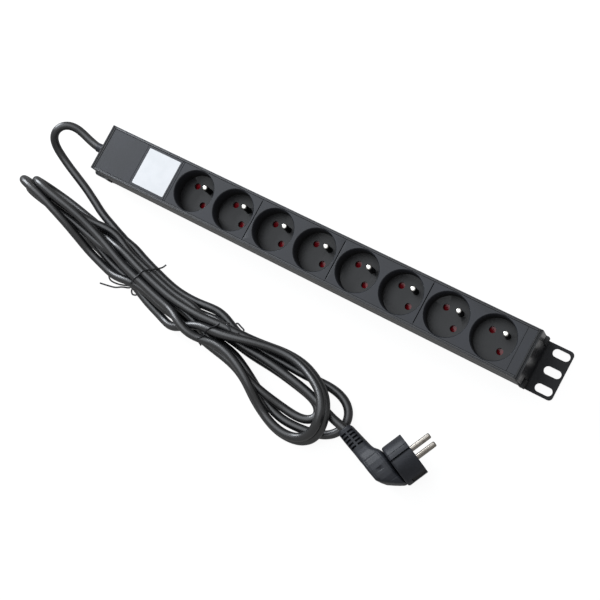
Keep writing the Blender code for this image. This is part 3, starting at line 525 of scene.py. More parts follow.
# %% Cord sheath
def sheath():
    """Satin PVC sheath: faint draw lines along it, a fine grain, and handling dust."""
    f = Finish("cord_sheath_satin", "cord_sheath", Specular_IOR_Level=1.0)
    own = f.node("ShaderNodeAttribute", "Vector", {"attribute_name": "straight"})
    lines = f.noise(own.scaled(1.0, 1.0, 0.02), 0.5, 3.0, 0.6)
    dust = f.noise(own.scaled(1.0, 1.0, 0.5), 6.0, 3.0)
    fine = f.noise(own.scaled(1.0, 1.0, 0.4), 0.22, 1.0)
    colour = f.mix(dust.within(0.35, 0.7), tone(13, 14, 16), tone(20, 21, 24))
    colour = f.mix(lines.within(0.55, 0.75) * 0.2, colour, tone(44, 45, 48))
    roughness = 0.37 + 0.12 * (dust - 0.5) + 0.06 * (fine - 0.5)
    return f.set(colour, roughness, height=0.016 * lines + 0.004 * fine)


def rubber(name, slot):
    """The plug's moulded rubber: like the cord, but with the mould's fine even grain."""
    f = Finish(name, slot, Specular_IOR_Level=0.3)
    grain = f.noise(f.at, 0.35, 2.0)
    cloud = f.noise(f.at, 12.0, 3.0)
    colour = f.mix(cloud.within(0.3, 0.7), tone(33, 35, 40), tone(42, 44, 50))
    return f.set(colour, 0.46 + 0.12 * (grain - 0.5) + 0.08 * (cloud - 0.5), height=0.018 * grain)


INSERT = insert_plastic()
PROFILE = anodised()
STEEL = powder_coat()
CAP = moulded("cap_nylon", "cap_plastic", (9, 10, 12), (14, 15, 18), 0.5)
CARRIER = moulded("carrier_nylon", "carrier_plastic", (120, 120, 116), (142, 142, 138), 0.55)
SHUTTER = moulded("shutter_red", "shutter_plastic", (108, 6, 18), (132, 12, 26), 0.22, 0.8, 0.006)
NICKEL = metal("nickel_plate_bright", "nickel_plate", (128, 122, 114), (164, 158, 150), 0.24, 0.4)
EARTH_PIN = pin_nickel_painted_light()
# Painted shade: the earth clips' nickel is given a near-black colour for the shade in the block's pockets.
CLIP_PAINTED_SHADE = metal("earth_clip_nickel_painted_shade", "nickel_plate", (20, 20, 21), (34, 33, 33), 0.4)
SPRING = metal("spring_wire", "spring_steel", (120, 120, 122), (165, 165, 168), 0.3, 0.3)
BRASS = metal("busbar_brass", "bar_brass", (168, 132, 66), (200, 165, 92), 0.3)
WIRE_BROWN = moulded("wire_brown_pvc", "wire_brown", (92, 52, 30), (108, 64, 38), 0.4)
WIRE_BLUE = moulded("wire_blue_pvc", "wire_blue", (26, 78, 158), (38, 96, 180), 0.4)
WIRE_GREEN = moulded("wire_green_pvc", "wire_green", (66, 132, 40), (92, 156, 44), 0.4)
TIE = moulded("tie_sleeve", "tie_plastic", (22, 23, 26), (32, 33, 37), 0.34, 0.4, 0.01)
SHEATH = sheath()
RUBBER = rubber("plug_rubber_grain", "plug_rubber")
print(len(bpy.data.materials), "materials")

# %% [markdown]
# ## The cord
#
# A three-core mains cord, 7.8 mm across, leaves the gland in a stiff bow, runs back along the strip, and is
# laid up in a hank: nine runs, four flat loops at the plug's end and four folds that stand on edge at the
# other. Two wire ties hold it. Each run's points are given as (x, y, z) of the cord's middle.


# %% The cord's route
CORD_R = 3.9
CORD_D = 2 * CORD_R
LEAD = [(-197, 0, 22), (-214.5, 0, 22), (-226, 0, 22), (-238, 0.2, 22), (-249, 2.4, 22.4), (-258, 5, 24.6)]
LEAD += [(-265.5, 6.4, 27.8), (-272.5, 5.2, 30.8), (-278, 1, 32.6), (-281.3, -5.3, 31.6)]
LEAD += [(-282, -11.3, 27.6), (-279.4, -16.9, 21.5), (-273, -22.1, 15.6), (-263, -27.7, 11)]
LEAD += [(-251, -33.2, 8.2), (-238, -39.1, 5.8), (-224, -46.1, 4.5), (-210, -53, 4.2), (-190, -60.3, 4.2)]
LEAD += [(-173.5, -65.8, 4.2)]
TAIL = [(85, -117.4, 14.2), (94, -119.3, 14.6), (103, -121.2, 14.5)]

# Stations along the hank, from its folded end to its looped end. The first is where the folds begin.
STATION_X = [-240, -220, -200, -170, -145, -122, -100, -75, -52, -28, 0]


def run(sides, heights, more=()):
    """A run through the hank: one (y, z) at each station, and points of its own after the last."""
    return [(x, y, z) for x, y, z in zip(STATION_X, sides, heights)] + list(more)


run_1 = [(-145, -75, 4), (-122, -81, 4), (-100, -86.4, 4), (-75, -89.5, 4), (-52, -92, 4), (-28, -94.5, 4)]
run_1 += [(0, -96.3, 4), (30, -95.8, 4), (55, -95.6, 4)]
loop_far = [(70, -95.9, 4), (83.8, -98.6, 4), (94.6, -105.6, 4), (98.2, -116, 4), (95.8, -126, 4)]
loop_far += [(87.8, -134, 4), (76, -138.4, 4), (60, -139.9, 4), (41, -138.6, 4)]
run_2 = run(
    (-63.5, -66.5, -72.5, -83.5, -90.8, -96, -101, -102, -104, -109, -120.6),
    (9.5, 11, 12, 7, 4, 4, 4, 4, 4, 6, 9.6),
    [(18, -130.8, 6)],
)
run_3 = run(
    (-62.5, -66, -69, -74, -78.5, -84, -89, -91.5, -98.6, -101.2, -103.8),
    (31, 23, 15, 11, 11, 11, 11, 11, 7.5, 4.2, 4),
    [(20, -105.2, 4), (36, -107.2, 4)],
)
loop_near = [(52, -109.8, 4), (63.5, -113, 4), (71, -117.4, 4), (73, -122.8, 4), (69.8, -128.2, 4)]
loop_near += [(61, -131.2, 4), (48, -132, 4)]
run_4 = run(
    (-69.5, -72.2, -75.6, -81.5, -86.3, -91.5, -96.5, -101, -105.5, -110.6, -121.8),
    (29, 22, 16, 11, 11, 11, 11, 11, 11, 13, 16),
    [(18, -128.6, 12.5), (33, -131.2, 7)],
)
run_5 = run(
    (-73.5, -78, -81.8, -87.4, -95.5, -106.5, -110.5, -105.5, -102.5, -98.4, -92),
    (9, 5, 4, 4, 4, 4, 4.5, 11.5, 19, 22.4, 18),
    [(20, -89.2, 13), (40, -91, 14.2)],
)
loop_top = [(55, -95.6, 19), (67, -101.4, 23.6), (76.6, -109.4, 27), (81.6, -119.4, 28), (82.2, -129.4, 25)]
loop_top += [(79.2, -138.4, 18.5), (71.6, -145.4, 13), (59.5, -149.2, 11.6), (45.5, -148, 11.6)]
run_6 = run(
    (-61, -64.8, -70.8, -81, -89.5, -95.5, -100.5, -103.5, -107.5, -110.6, -120.4),
    (40, 34, 27, 20, 18, 18, 18, 15.5, 14, 19, 21.5),
    [(17, -131.4, 16), (31, -142.4, 12)],
)
run_7 = run(
    (-61, -65, -68.5, -75, -81.5, -87.5, -92.2, -94.5, -95.5, -94.6, -91),
    (4, 6, 9, 15, 18, 18, 18, 18, 18, 16, 10),
    [(20, -88.4, 5.2), (40, -90.2, 6.4)],
)
loop_out = [(57, -95.2, 11.8), (70, -101.6, 16.2), (79.6, -110.6, 20), (84.2, -121.6, 20.6), (84, -132, 16)]
loop_out += [(79.2, -141.2, 10), (70.4, -147.8, 5.6), (57, -150.8, 4), (41.6, -148.6, 4)]
run_8 = [(-256, -65.5, 42), (-240, -71.2, 37), (-223, -78, 29), (-208, -85.4, 19), (-194.6, -91.4, 11.5)]
run_8 += [(-178, -95, 7.5), (-160, -97, 7), (-145, -96, 9.5), (-122, -99, 11), (-100, -104, 11)]
run_8 += [(-75, -106.5, 8), (-52, -108.5, 4.5), (-28, -113.8, 4), (0, -125.2, 4), (22, -138, 4)]
run_9 = run(
    (-65, -68.6, -73.8, -79.6, -83, -88, -92.6, -95.5, -95.2, -98.8, -101),
    (4, 4, 4, 4, 4, 4, 4, 4, 7.5, 11.4, 11.4),
    [(20, -103, 11.3), (40, -105.8, 11.3), (58, -109, 11.6), (72, -113, 13.2)],
)


FOLD_Z = 23.5


def fold(x, y, radius, slope, steps):
    """A half circle that stands on edge, from the floor side up over the left and back: the middle is
    (x, y, FOLD_Z) and the plane runs along (1, slope)."""
    angle = np.radians(np.linspace(-90, -270, steps + 4))[1:-1]
    turn = radius * np.cos(angle)
    return np.column_stack([x + turn, y + slope * turn, FOLD_Z + radius * np.sin(angle)]).tolist()


route = [*LEAD, *run_1, *loop_far, *run_2[::-1], *fold(-256, -61.6, 11.6, -0.19, 5), *run_3, *loop_near]
route += [*run_4[::-1], *fold(-268, -65.4, 11.6, -0.215, 5)[::-1], *run_5, *loop_top, *run_6[::-1]]
route += [*fold(-256, -58, 19.5, -0.19, 7)[::-1], *run_7, *loop_out, *run_8[::-1]]
route += [*fold(-269, -62.9, 19.5, -0.215, 7)[::-1], *run_9, *TAIL]
route = np.array(route, float)
print(len(route), "points on the route")

# %% [markdown]
# The points are joined by a spline whose speed follows the square root of their spacing (a centripetal
# Catmull-Rom spline), which never loops between close points. Then the cord settles: wherever two runs are
# nearer than a diameter they push each other apart, the push is spread along the cord because a cord can't
# kink, its stiffness evens it out, and the floor holds it up.


# %% Spline, even spacing and settling
def smooth_through(points, parts=14):
    """Centripetal Catmull-Rom: between b and c, two rounds of straight blends of straight blends."""
    ends = np.vstack([2 * points[0] - points[1], points, 2 * points[-1] - points[-2]])
    a, b, c, d = ends[:-3], ends[1:-2], ends[2:-1], ends[3:]
    t0 = np.zeros(len(a))
    t1 = t0 + np.linalg.norm(b - a, axis=1) ** 0.5
    t2 = t1 + np.linalg.norm(c - b, axis=1) ** 0.5
    t3 = t2 + np.linalg.norm(d - c, axis=1) ** 0.5
    share = np.linspace(0, 1, parts, endpoint=False)
    t = (t1 + share[:, None] * (t2 - t1))[..., None]
    t0, t1, t2, t3 = (v[None, :, None] for v in (t0, t1, t2, t3))

    def between(p, q, s0, s1):
        return (s1 - t) / (s1 - s0) * p + (t - s0) / (s1 - s0) * q

    ab, bc, cd = between(a, b, t0, t1), between(b, c, t1, t2), between(c, d, t2, t3)
    first, second = between(ab, bc, t0, t2), between(bc, cd, t1, t3)
    fine = between(first, second, t1, t2)
    return np.vstack([fine.transpose(1, 0, 2).reshape(-1, 3), points[-1:]])


def lengths(points):
    """The distance along a line of points, at each point."""
    return np.concatenate([[0.0], np.cumsum(np.linalg.norm(np.diff(points, axis=0), axis=1))])


def evenly(points, step):
    """The same line with its points one step apart."""
    along = lengths(points)
    wanted = np.linspace(0, along[-1], round(along[-1] / step) + 1)
    return np.column_stack([np.interp(wanted, along, points[:, k]) for k in range(3)])


def bell_of(reach, width):
    """Weights of a bell curve that add up to 1."""
    bell = np.exp(-0.5 * (np.arange(-reach, reach + 1) / width) ** 2)
    return bell / bell.sum()


def spread(push, width):
    """Each row blurred along the cord by a bell of that width."""
    return np.column_stack([np.convolve(push[:, k], bell_of(3 * width, width), "same") for k in range(3)])


AIR = 0.1
STEP = 4.0
ROUNDS = 90
LEAD_FREE = 25
CROWD = 0.8


def settle(points, held):
    """Push runs apart to one diameter, keep the bends gentle, and stay above the floor."""
    points = points.copy()
    here = np.arange(len(points))
    same = np.abs(here[:, None] - here) <= math.ceil(1.7 * CORD_D / STEP)
    room = CORD_D + AIR
    for k in range(ROUNDS):
        square = (points**2).sum(axis=1)
        apart = np.maximum(square[:, None] + square - 2 * points @ points.T, 1e-6)
        apart[same] = 1e6
        a, b = np.nonzero(apart < room * room)
        gap = np.sqrt(apart[a, b])
        push = np.zeros_like(points)
        np.add.at(push, a, (points[a] - points[b]) * ((room - gap) / gap)[:, None])
        push /= np.maximum(1, np.bincount(a, minlength=len(points)) * CROWD)[:, None]
        # Stiffness: the fourth difference along the cord, which evens out its bends.
        bend = np.zeros_like(points)
        inner = points[:-4] - 4 * points[1:-3] + 6 * points[2:-2] - 4 * points[3:-1] + points[4:]
        bend[2:-2] = -inner / 32
        # The push is spread wider in the early rounds than in the last ones.
        move = spread(push, 3 if k < ROUNDS * 0.7 else 2) * 0.9 + bend
        points += np.where(held[:, None], 0, move)
        points[:, 2] = np.where(held, points[:, 2], np.maximum(points[:, 2], CORD_R + AIR))
    return points


laid = evenly(smooth_through(route), STEP)
lead_length = lengths(smooth_through(np.array([*LEAD, run_1[0]], float)))[-1]
held = np.zeros(len(laid), bool)
held[: int((lead_length - LEAD_FREE) / STEP)] = True
held[-4:] = True
laid = settle(laid, held)
middle_line = evenly(smooth_through(laid, 6), 2.2)
cord_length = lengths(middle_line)[-1]
cord_top = laid[:, 2].max() + CORD_R
print("cord %.3f m long, %d points, top at %.1f mm" % (cord_length * MM, len(middle_line), cord_top))

# %% [markdown]
# The sheath is a ring carried along that line. The ring turns as little as it can from one point to the
# next, so the draw lines in the finish don't twist: each new side direction is the last one with the part
# along the cord taken out.


# %% A round section carried along a line
def carried(line, radius, sides):
    """Rings round a line of points, p + r(cos a * u + sin a * v), u and v carried along it, and end caps."""
    ahead = np.gradient(line, axis=0)
    ahead /= np.linalg.norm(ahead, axis=1)[:, None]
    side = np.empty_like(line)
    start = np.cross(ahead[0], (0.0, 0.0, 1.0))
    if np.linalg.norm(start) < 0.1:
        start = np.cross(ahead[0], (0.0, 1.0, 0.0))
    side[0] = start / np.linalg.norm(start)
    for k in range(1, len(line)):
        turned_side = side[k - 1] - ahead[k] * (side[k - 1] @ ahead[k])
        side[k] = turned_side / np.linalg.norm(turned_side)
    up = np.cross(side, ahead)
    angle = whole_turn(sides)
    radius = np.broadcast_to(np.asarray(radius, float), len(line))
    ring = np.cos(angle)[None, :, None] * side[:, None] + np.sin(angle)[None, :, None] * up[:, None]
    points, quads = grid(line[:, None] + radius[:, None, None] * ring)
    here = np.arange(sides)
    after = (here + 1) % sides
    count = len(points)
    last = count - sides
    first_cap = np.stack([here, after, np.full(sides, count)], -1)
    last_cap = np.stack([here + last, after + last, np.full(sides, count + 1)], -1)
    return np.vstack([points, line[:1], line[-1:]]), [quads, first_cap, last_cap]


SIDES = 20
skin = carried(middle_line, CORD_R, SIDES)
cord = build("cord", [skin], SHEATH, ("cord_lead", "cord_hank", "cord_tail"), 60)
angle = np.tile(whole_turn(SIDES), len(middle_line))
along = np.repeat(lengths(middle_line), SIDES)
own = np.column_stack([CORD_R * np.cos(angle), CORD_R * np.sin(angle), along])
own = np.vstack([own, (0, 0, 0), (0, 0, cord_length)])
straight = cord.data.attributes.new("straight", "FLOAT_VECTOR", "POINT")
straight.data.foreach_set("vector", own.astype(np.float32).ravel())

# %% [markdown]
# ## The gland
#
# Where the cord leaves the end cap it wears a moulded gland: a collar that stops it pulling through, and a
# tapered sleeve that spreads the bend. It is turned about the cord's own axis.


# %% Gland
gland_low, gland_high = span("cord_gland")
GLAND_Z = (gland_low[2] + gland_high[2]) / 2
gland_long = gland_high[0] - gland_low[0]
BORE_R, COLLAR_R, NECK_R, TIP_R = 4.1, 6.4, 4.9, 4.3
COLLAR_END, NECK = gland_long - 20.2, gland_long - 19.6
gland_profile = [(BORE_R, 0, 0), (COLLAR_R, 0, 0.2), (COLLAR_R, COLLAR_END, 0.4), (NECK_R, NECK, 0.4)]
gland_profile += [(TIP_R, gland_long, 0.2), (BORE_R, gland_long, 0.1)]
gland_profile = rounded(gland_profile, closed=True)
to_left = Matrix.Translation((gland_high[0], 0, GLAND_Z)) @ Matrix.Rotation(-math.pi / 2, 4, "Y")
gland_skin = turned(np.vstack([gland_profile, gland_profile[:1]]), 48)
build("gland", [placed(gland_skin, to_left)], RUBBER, ("cord_gland",), 40)
print("gland from x", round(gland_high[0], 1), "to", round(gland_low[0], 1))

# %% [markdown]
# ## The plug
#
# The plug is an angled two-pin plug: a round block whose face carries two pins and an earth socket, with
# two guide grooves and two earth clips on its rim, and a flat-sided back that narrows into the slotted
# strain relief. It is made in its own frame: x away from the cord, y the way the pins point, z up.


# %% The plug's own frame
PLUG_R = 19.0
PLUG_D = 19.5
PIN_LONG = 19.0
YAW = math.radians(-25.0)
ROLL = math.radians(4.5)
BLOCK_YAW, BLOCK_DIP, BLOCK_ROLL = -24.3, -6.8, -13.4
BLOCK_SHIFT = (0.4, 1.2, 0)
side_axis = Vector((math.cos(YAW), math.sin(YAW), 0)) * math.cos(ROLL) + Vector((0, 0, math.sin(ROLL)))
front_axis = Vector((-math.sin(YAW), math.cos(YAW), 0))
plug_frame = Matrix((side_axis, front_axis, side_axis.cross(front_axis))).transposed().to_4x4()
axes = np.array(plug_frame)[:3, :3]
pin_meshes = [frame["nodes"]["plug_pin_%d" % k].data for k in (1, 2)]
pin_points = [np.array([v.co for v in mesh.vertices]) / MM @ axes for mesh in pin_meshes]
pin_middles = [(p.min(axis=0) + p.max(axis=0)) / 2 for p in pin_points]
between_pins = (pin_middles[0] + pin_middles[1]) / 2
between_pins[1] = pin_points[0][:, 1].max() - PIN_LONG
plug_frame.translation = Vector(axes @ between_pins)
# The block rolls a little further than its back and dips its pins towards the floor.
block_frame = Matrix.Translation(plug_frame.translation + Vector(BLOCK_SHIFT))
for degrees, axis in ((BLOCK_YAW, "Z"), (BLOCK_DIP, "X"), (BLOCK_ROLL, "Y")):
    block_frame = block_frame @ Matrix.Rotation(math.radians(degrees), 4, axis)
print("plug face at", [round(c, 2) for c in block_frame.translation])

# %% [markdown]
# The block's rim is a circle with flat-bottomed grooves: two shallow guides, two narrow slots in them, and
# two pockets for the earth clips. The radius at an angle is the block's less the depth of any groove whose
# middle is within half its width, and the grooves' sides are steep ramps.


# %% Block of the plug
SLOT_ANGLE = math.pi / 2 - 2.5 / PLUG_R
# Each groove's angle, width and depth. The first list runs the whole way back, the second to POCKET_END.
through = [(math.pi / 2, 6.6, 0.3), (-math.pi / 2, 6.6, 0.3)]
through += [(SLOT_ANGLE, 1.9, 2.6), (SLOT_ANGLE - math.pi, 1.9, 2.6)]
pockets = [(0, 6.4, 2.0), (math.pi, 6.4, 2.0)]
POCKET_END = 14.0
RAMP = 0.25
EARTH_X, MOUTH_STEPS = 10.0, 40
UPRIGHT = [0, 2, 1]

corner_angles = []
for at, width, _ in through + pockets:
    for reach in (width / 2 - RAMP / 2, width / 2 + RAMP / 2):
        corner_angles += [at + math.asin(reach / PLUG_R), at - math.asin(reach / PLUG_R)]
rim_angle = np.mod(np.concatenate([whole_turn(144), corner_angles]), 2 * math.pi)
rim_angle = np.unique(np.round(rim_angle, 6))


def cut(grooves):
    """How deep the grooves cut at each angle: depth inside a groove's width, none outside, short ramps."""
    total = 0
    for at, width, depth in grooves:
        offset = np.abs(PLUG_R * np.sin(rim_angle - at))
        inside = np.cos(rim_angle - at) > 0
        total = total + depth * inside * ramp(offset, width / 2 + RAMP / 2, RAMP)
    return total


# How far each ring of the rim is behind the face, and how much larger than the block.
rings = [(0.0, -0.3), (0.06, -0.14), (0.16, -0.05), (0.34, 0.0), (4.0, 0.0), (9.0, 0.0), (13.9, 0.0)]
rings += [(14.0, 0.0), (14.3, 0.0), (17.5, 0.0), (18.2, -0.12), (18.9, -0.5), (19.3, -1.0), (PLUG_D, -1.6)]
rim = []
for back, larger in rings:
    full = np.clip((back - POCKET_END) / 0.3, 0, 1)
    radius = PLUG_R - cut(through) - cut(pockets) * (1 - full) + larger
    behind = np.full(len(rim_angle), -back)
    rim.append(np.stack([radius * np.cos(rim_angle), behind, radius * np.sin(rim_angle)], -1))
rim = np.stack(rim)
mouth = [(2.6, 0.0), (2.3, -0.3), (2.3, -9.0)]
earth_mouth = circle(EARTH_X, 0, mouth[0][0], MOUTH_STEPS)
mouth = [np.column_stack([circle(EARTH_X, 0, r, MOUTH_STEPS), np.full(MOUTH_STEPS, y)]) for r, y in mouth]
mouth = np.stack(mouth)[..., UPRIGHT]
face_flat, face_sides = plate(rim[0][:, [0, 2]], [earth_mouth], 0.0)
back_flat, back_sides = plate(rim[-1][:, [0, 2]], [], -PLUG_D)
face_skin, back_skin = (face_flat[:, UPRIGHT], face_sides), (back_flat[:, UPRIGHT], back_sides)
block_skins = [grid(rim), face_skin, grid(mouth), fan(mouth[-1]), back_skin]
block = build("plug_block", [placed(s, block_frame) for s in block_skins], RUBBER, ("plug_body",), 28)

# %% [markdown]
# ### The back and the strain relief
#
# The back is lofted through sections along x. Each section is a superellipse,
# y = m + d * sgn(cos) |cos|^(2/n), z = h * sgn(sin) |sin|^(2/n), whose n is 4 to 6 beside the block and falls
# to a rounder 3 at the cord. On each broad side of the relief are two rows of five slots, and on the back a
# sunk panel with a round dent, all pressed in with steep walls.


# %% Back of the plug
# x, the middle's y, half depth, half height and power of each section.
SECTIONS = [
    (15.6, -19.5, 0.9, 6.0, 4.0), (15.0, -19.9, 1.8, 7.4, 4.0), (12.5, -21.4, 3.6, 9.6, 4.5),
    (9.0, -23.6, 5.6, 11.5, 5.0), (5.0, -25.8, 7.8, 13.1, 5.5), (1.0, -27.0, 9.3, 13.8, 6.0),
    (-6.0, -27.3, 9.7, 13.8, 6.0), (-11.0, -27.7, 9.8, 13.0, 5.5), (-16.0, -28.3, 9.6, 11.4, 5.0),
    (-20.0, -29.3, 9.2, 10.0, 4.5), (-24.0, -30.9, 8.0, 8.4, 4.0), (-28.0, -31.7, 7.5, 7.6, 3.6),
    (-36.0, -32.7, 7.3, 7.4, 3.4), (-44.0, -33.6, 7.05, 7.1, 3.2), (-50.8, -34.3, 6.8, 6.85, 3.1),
    (-51.6, -34.38, 6.55, 6.6, 3.0), (-52.0, -34.4, 6.1, 6.1, 3.0),
]
SLOT_FIRST, SLOT_PITCH = -33.0, 3.5
slot_x = SLOT_FIRST - SLOT_PITCH * np.arange(5)
# Where the loft's rings lie, as (from, to, how many), closest over the relief's slots.
spans = [(15.6, 12.5, 8), (12.2, -30, 90), (-30.2, -49.5, 150), (-49.8, -51.4, 6), (-51.5, -52.0, 5)]
base_x = np.concatenate([np.linspace(*span_x) for span_x in spans])
around = whole_turn(216)
rising = np.array(SECTIONS[::-1]).T
middle_y, depth, height, power = [np.interp(base_x, rising[0], row)[:, None] for row in rising[1:]]
cos_a, sin_a = np.cos(around)[None], np.sin(around)[None]
back_y = depth * np.sign(cos_a) * np.abs(cos_a) ** (2 / power)
back_z = height * np.sign(sin_a) * np.abs(sin_a) ** (2 / power)

# The strain relief's slots: two rows, at SLOT_Y either side of the middle.
SLOT_Y, SLOT_DEEP = 3.4, 3.2
in_slot = ramp(np.abs(base_x[:, None, None] - slot_x), 0.95, RAMP).max(axis=2)
in_row = ramp(np.abs(np.abs(back_y) - SLOT_Y), 2.35, 0.35)
slots = in_slot * in_row * (np.abs(sin_a) > 0.4)
# The sunk panel: its ends in x, half its width, its depth, and the groove round it.
PANEL_X, PANEL_W, PANEL_DEEP, PANEL_GROOVE = (-17.0, 9.5), 6.6, 0.22, 0.3
from_end = np.clip(np.minimum(base_x[:, None] - PANEL_X[0], PANEL_X[1] - base_x[:, None]), -5, 5)
inside = np.minimum(from_end, PANEL_W - np.abs(back_y))
dent = PANEL_GROOVE * np.exp(-((inside / 0.32) ** 2)) + PANEL_DEEP * np.clip(inside / 0.4, 0, 1)
# The round dent in it.
DOT, DOT_R, DOT_DEEP = (-3.5, -0.5), 1.7, 1.1
dent = dent + DOT_DEEP * ramp(np.hypot(base_x[:, None] - DOT[0], back_y - DOT[1]), DOT_R, 0.3)
broad = (np.abs(sin_a) > 0.55) & (np.abs(back_y) < depth * 0.93)
back_z = back_z - np.sign(sin_a) * (slots * SLOT_DEEP + np.where(broad, dent, 0))
back = np.stack([np.repeat(base_x[:, None], len(around), 1), middle_y + back_y, back_z], -1)
back_skins = [placed(skin, plug_frame) for skin in (grid(back), fan(back[0]), fan(back[-1]))]
back_piece = build("plug_back", back_skins, RUBBER, ("plug_body",), 32)

# %% [markdown]
# ### Pins and earth clips
#
# The pins are turned brass, nickel plated, with a rounded nose. The earth clips are folded strip, so the
# CAD clips are kept in shape: their edges are eased, and further on they turn with the block.


# %% Pins
SHOULDER_R, SHOULDER = 2.75, 1.2
nose = [(0, PIN_LONG, 0), (PIN_R, PIN_LONG, 1.6), (PIN_R, 0, 0), (SHOULDER_R, 0, 0.1)]
nose = rounded(nose + [(SHOULDER_R, -SHOULDER, 0), (0, -SHOULDER, 0)], steps=8)
for k, own_middle in enumerate(pin_middles, 1):
    height = own_middle[2] - between_pins[2]
    seat = block_frame @ Matrix.Translation((0, 0, height)) @ Matrix.Rotation(-math.pi / 2, 4, "X")
    skin = placed(turned(nose, 48), seat)
    build("pin_%d" % k, [skin], NICKEL, ("plug_pin_%d" % k,), 50)

# %% [markdown]
# ## Pieces that keep their CAD shape
#
# Folded, extruded and moulded pieces are already right in the CAD. A copy is merged into clean flat faces,
# its round rims are given twice the steps, and its sharp edges are eased by a small bevel.


# %% Copies with finer rims and eased edges
def eased(node, finish, body="strip", bevel=0.2, rings=()):
    """A merged copy of a CAD node. rings are (x, y, radius, steps) of upright round rims: each chord of one is
    halved and its middle moved out to the circle."""
    mesh = frame["nodes"][node].data.copy()
    work = bmesh.new()
    work.from_mesh(mesh)
    bmesh.ops.remove_doubles(work, verts=work.verts, dist=3e-6)
    bmesh.ops.dissolve_limit(work, angle_limit=math.radians(0.4), verts=work.verts, edges=work.edges)
    if len(rings):
        ends = np.array([[e.verts[0].co[:], e.verts[1].co[:]] for e in work.edges]) / MM
        on_rim = np.zeros(len(ends), bool)
        for x, y, radius, _ in rings:
            away = np.hypot(ends[..., 0] - x, ends[..., 1] - y)
            level = np.abs(ends[:, 0, 2] - ends[:, 1, 2]) < 0.01
            on_rim |= level & (np.abs(away - radius) < 0.02).all(axis=1)
        work.edges.ensure_lookup_table()
        chosen = [work.edges[k] for k in np.nonzero(on_rim)[0]]
        bmesh.ops.subdivide_edges(work, edges=chosen, cuts=1, use_grid_fill=False)
    work.to_mesh(mesh)
    work.free()
    points = np.zeros(len(mesh.vertices) * 3)
    mesh.vertices.foreach_get("co", points)
    points = points.reshape(-1, 3) / MM
    for x, y, radius, steps in rings:
        away = np.hypot(points[:, 0] - x, points[:, 1] - y)
        inner = radius * math.cos(math.pi / steps)
        low = (away > inner - 0.02) & (away < radius - (radius - inner) * 0.3)
        grow = np.where(low, radius / np.maximum(away, 1e-6), 1.0)
        points[:, 0] = x + (points[:, 0] - x) * grow
        points[:, 1] = y + (points[:, 1] - y) * grow
    mesh.vertices.foreach_set("co", (points * MM).ravel())
    mesh.update()
    return finished(node + "_made", mesh, finish, body, (node,), 30.0, bevel)


# %% Strip, caps, brackets and inserts
eased("profile", PROFILE, bevel=0.15)
for side in ("left", "right"):
    eased("end_cap_" + side, CAP, bevel=0.25)
for side in ("left", "right"):
    eased("bracket_" + side, STEEL, bevel=0.3)
for node in ("panel_text", "panel_label", "panel_right", "spacer"):
    eased(node, INSERT)

# Each socket is turned by 45 degrees, so its holes lie along (-TURN, TURN) and (TURN, TURN).
TURN = math.sqrt(0.5)
RIM_R = 19.6
HOLES = ((-9.5, 0, 3.0, 16), (9.5, 0, 3.0, 16), (0, EARTH_X, 2.7, 14))
for m in range(COUNT // 2):
    rims = []
    for x in SOCKETS[2 * m : 2 * m + 2]:
        rims += [(x, 0, RECESS_R, 40), (x, 0, RIM_R, 40)]
        rims += [(x + TURN * (v - u), TURN * (u + v), radius, steps) for u, v, radius, steps in HOLES]
    eased("module_%d" % (m + 1), INSERT, bevel=0.22, rings=rims)

# %% [markdown]
# ## Shutters and earth pins
#
# A red shutter closes each socket's live holes from below and slides away when a plug's pins press its
# ramps. The earth pin stands up from the floor of the recess with a rounded nose.

# %% Shutters and earth pins
FLANGE_Z, FLANGE_R, FLANGE_THICK = 30.1, PIN_R + 1.1, 2.0
for k, (low, high) in enumerate(pins, 1):
    eased("shutter_%d" % k, SHUTTER, "shutter_body_%d" % k, bevel=0.15)
    x, y = (low[:2] + high[:2]) / 2
    tall = high[2] - low[2]
    top = FLANGE_Z - low[2]
    under = top - FLANGE_THICK
    outline = [(0, tall, 0), (PIN_R, tall, 1.5), (PIN_R, top, 0.1), (FLANGE_R, top, 0.2)]
    outline += [(FLANGE_R, under, 0.2), (PIN_R, under, 0.1), (PIN_R, 0, 0.3), (0, 0, 0)]
    skin = placed(turned(rounded(outline), 40), Matrix.Translation((x, y, low[2])))
    build("socket_earth_pin_%d" % k, [skin], EARTH_PIN, ("earth_pin_%d" % k,), 40)

# %% [markdown]
# ## Return springs
#
# A light spring behind each shutter pushes it back over the live holes. On the real strip it is wound from
# hard steel wire and stands between a post under the module and the shutter's edge. An open shutter presses
# it nearly solid. Here it is made as a coil at its free length, and the length the travel presses it to is
# printed.

# %% Return springs
SPRING_R = 1.0
SPRING_WIRE = 0.22
SPRING_TURNS = 4
SPRING_POST, SPRING_END = -11.88, -3.92
slide = [j for j in frame["record"]["behaviour"]["joints"] if j["name"] == "shutter_slide_1"][0]
travel = max(slide["range_m"]) / MM
free = SPRING_END - SPRING_POST + 2 * SPRING_WIRE
pressed = (free - travel) / free
share = np.linspace(0, 1, SPRING_TURNS * 16 + 1)
angle = 2 * math.pi * SPRING_TURNS * share
along = SPRING_POST + (SPRING_END - SPRING_POST) * share
across = SPRING_R * np.cos(angle)
for k, x in enumerate(SOCKETS):
    low, high = span("spring_%d" % (k + 1))
    middle_z = (low[2] + high[2]) / 2
    coil = [x + TURN * (along - across), TURN * (along + across), middle_z + SPRING_R * np.sin(angle)]
    skin = carried(np.column_stack(coil), SPRING_WIRE, 8)
    spring = build("return_spring_%d" % (k + 1), [skin], SPRING, ("spring_%d" % (k + 1),), 60)
    foot = SPRING_POST - SPRING_WIRE
    anchor = ((x + TURN * foot) * MM, TURN * foot * MM, middle_z * MM)
    "shutter_slide_%d" % (k + 1)
    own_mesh(spring)
print("springs", round(free, 2), "long, pressed to", round(free * pressed, 2))

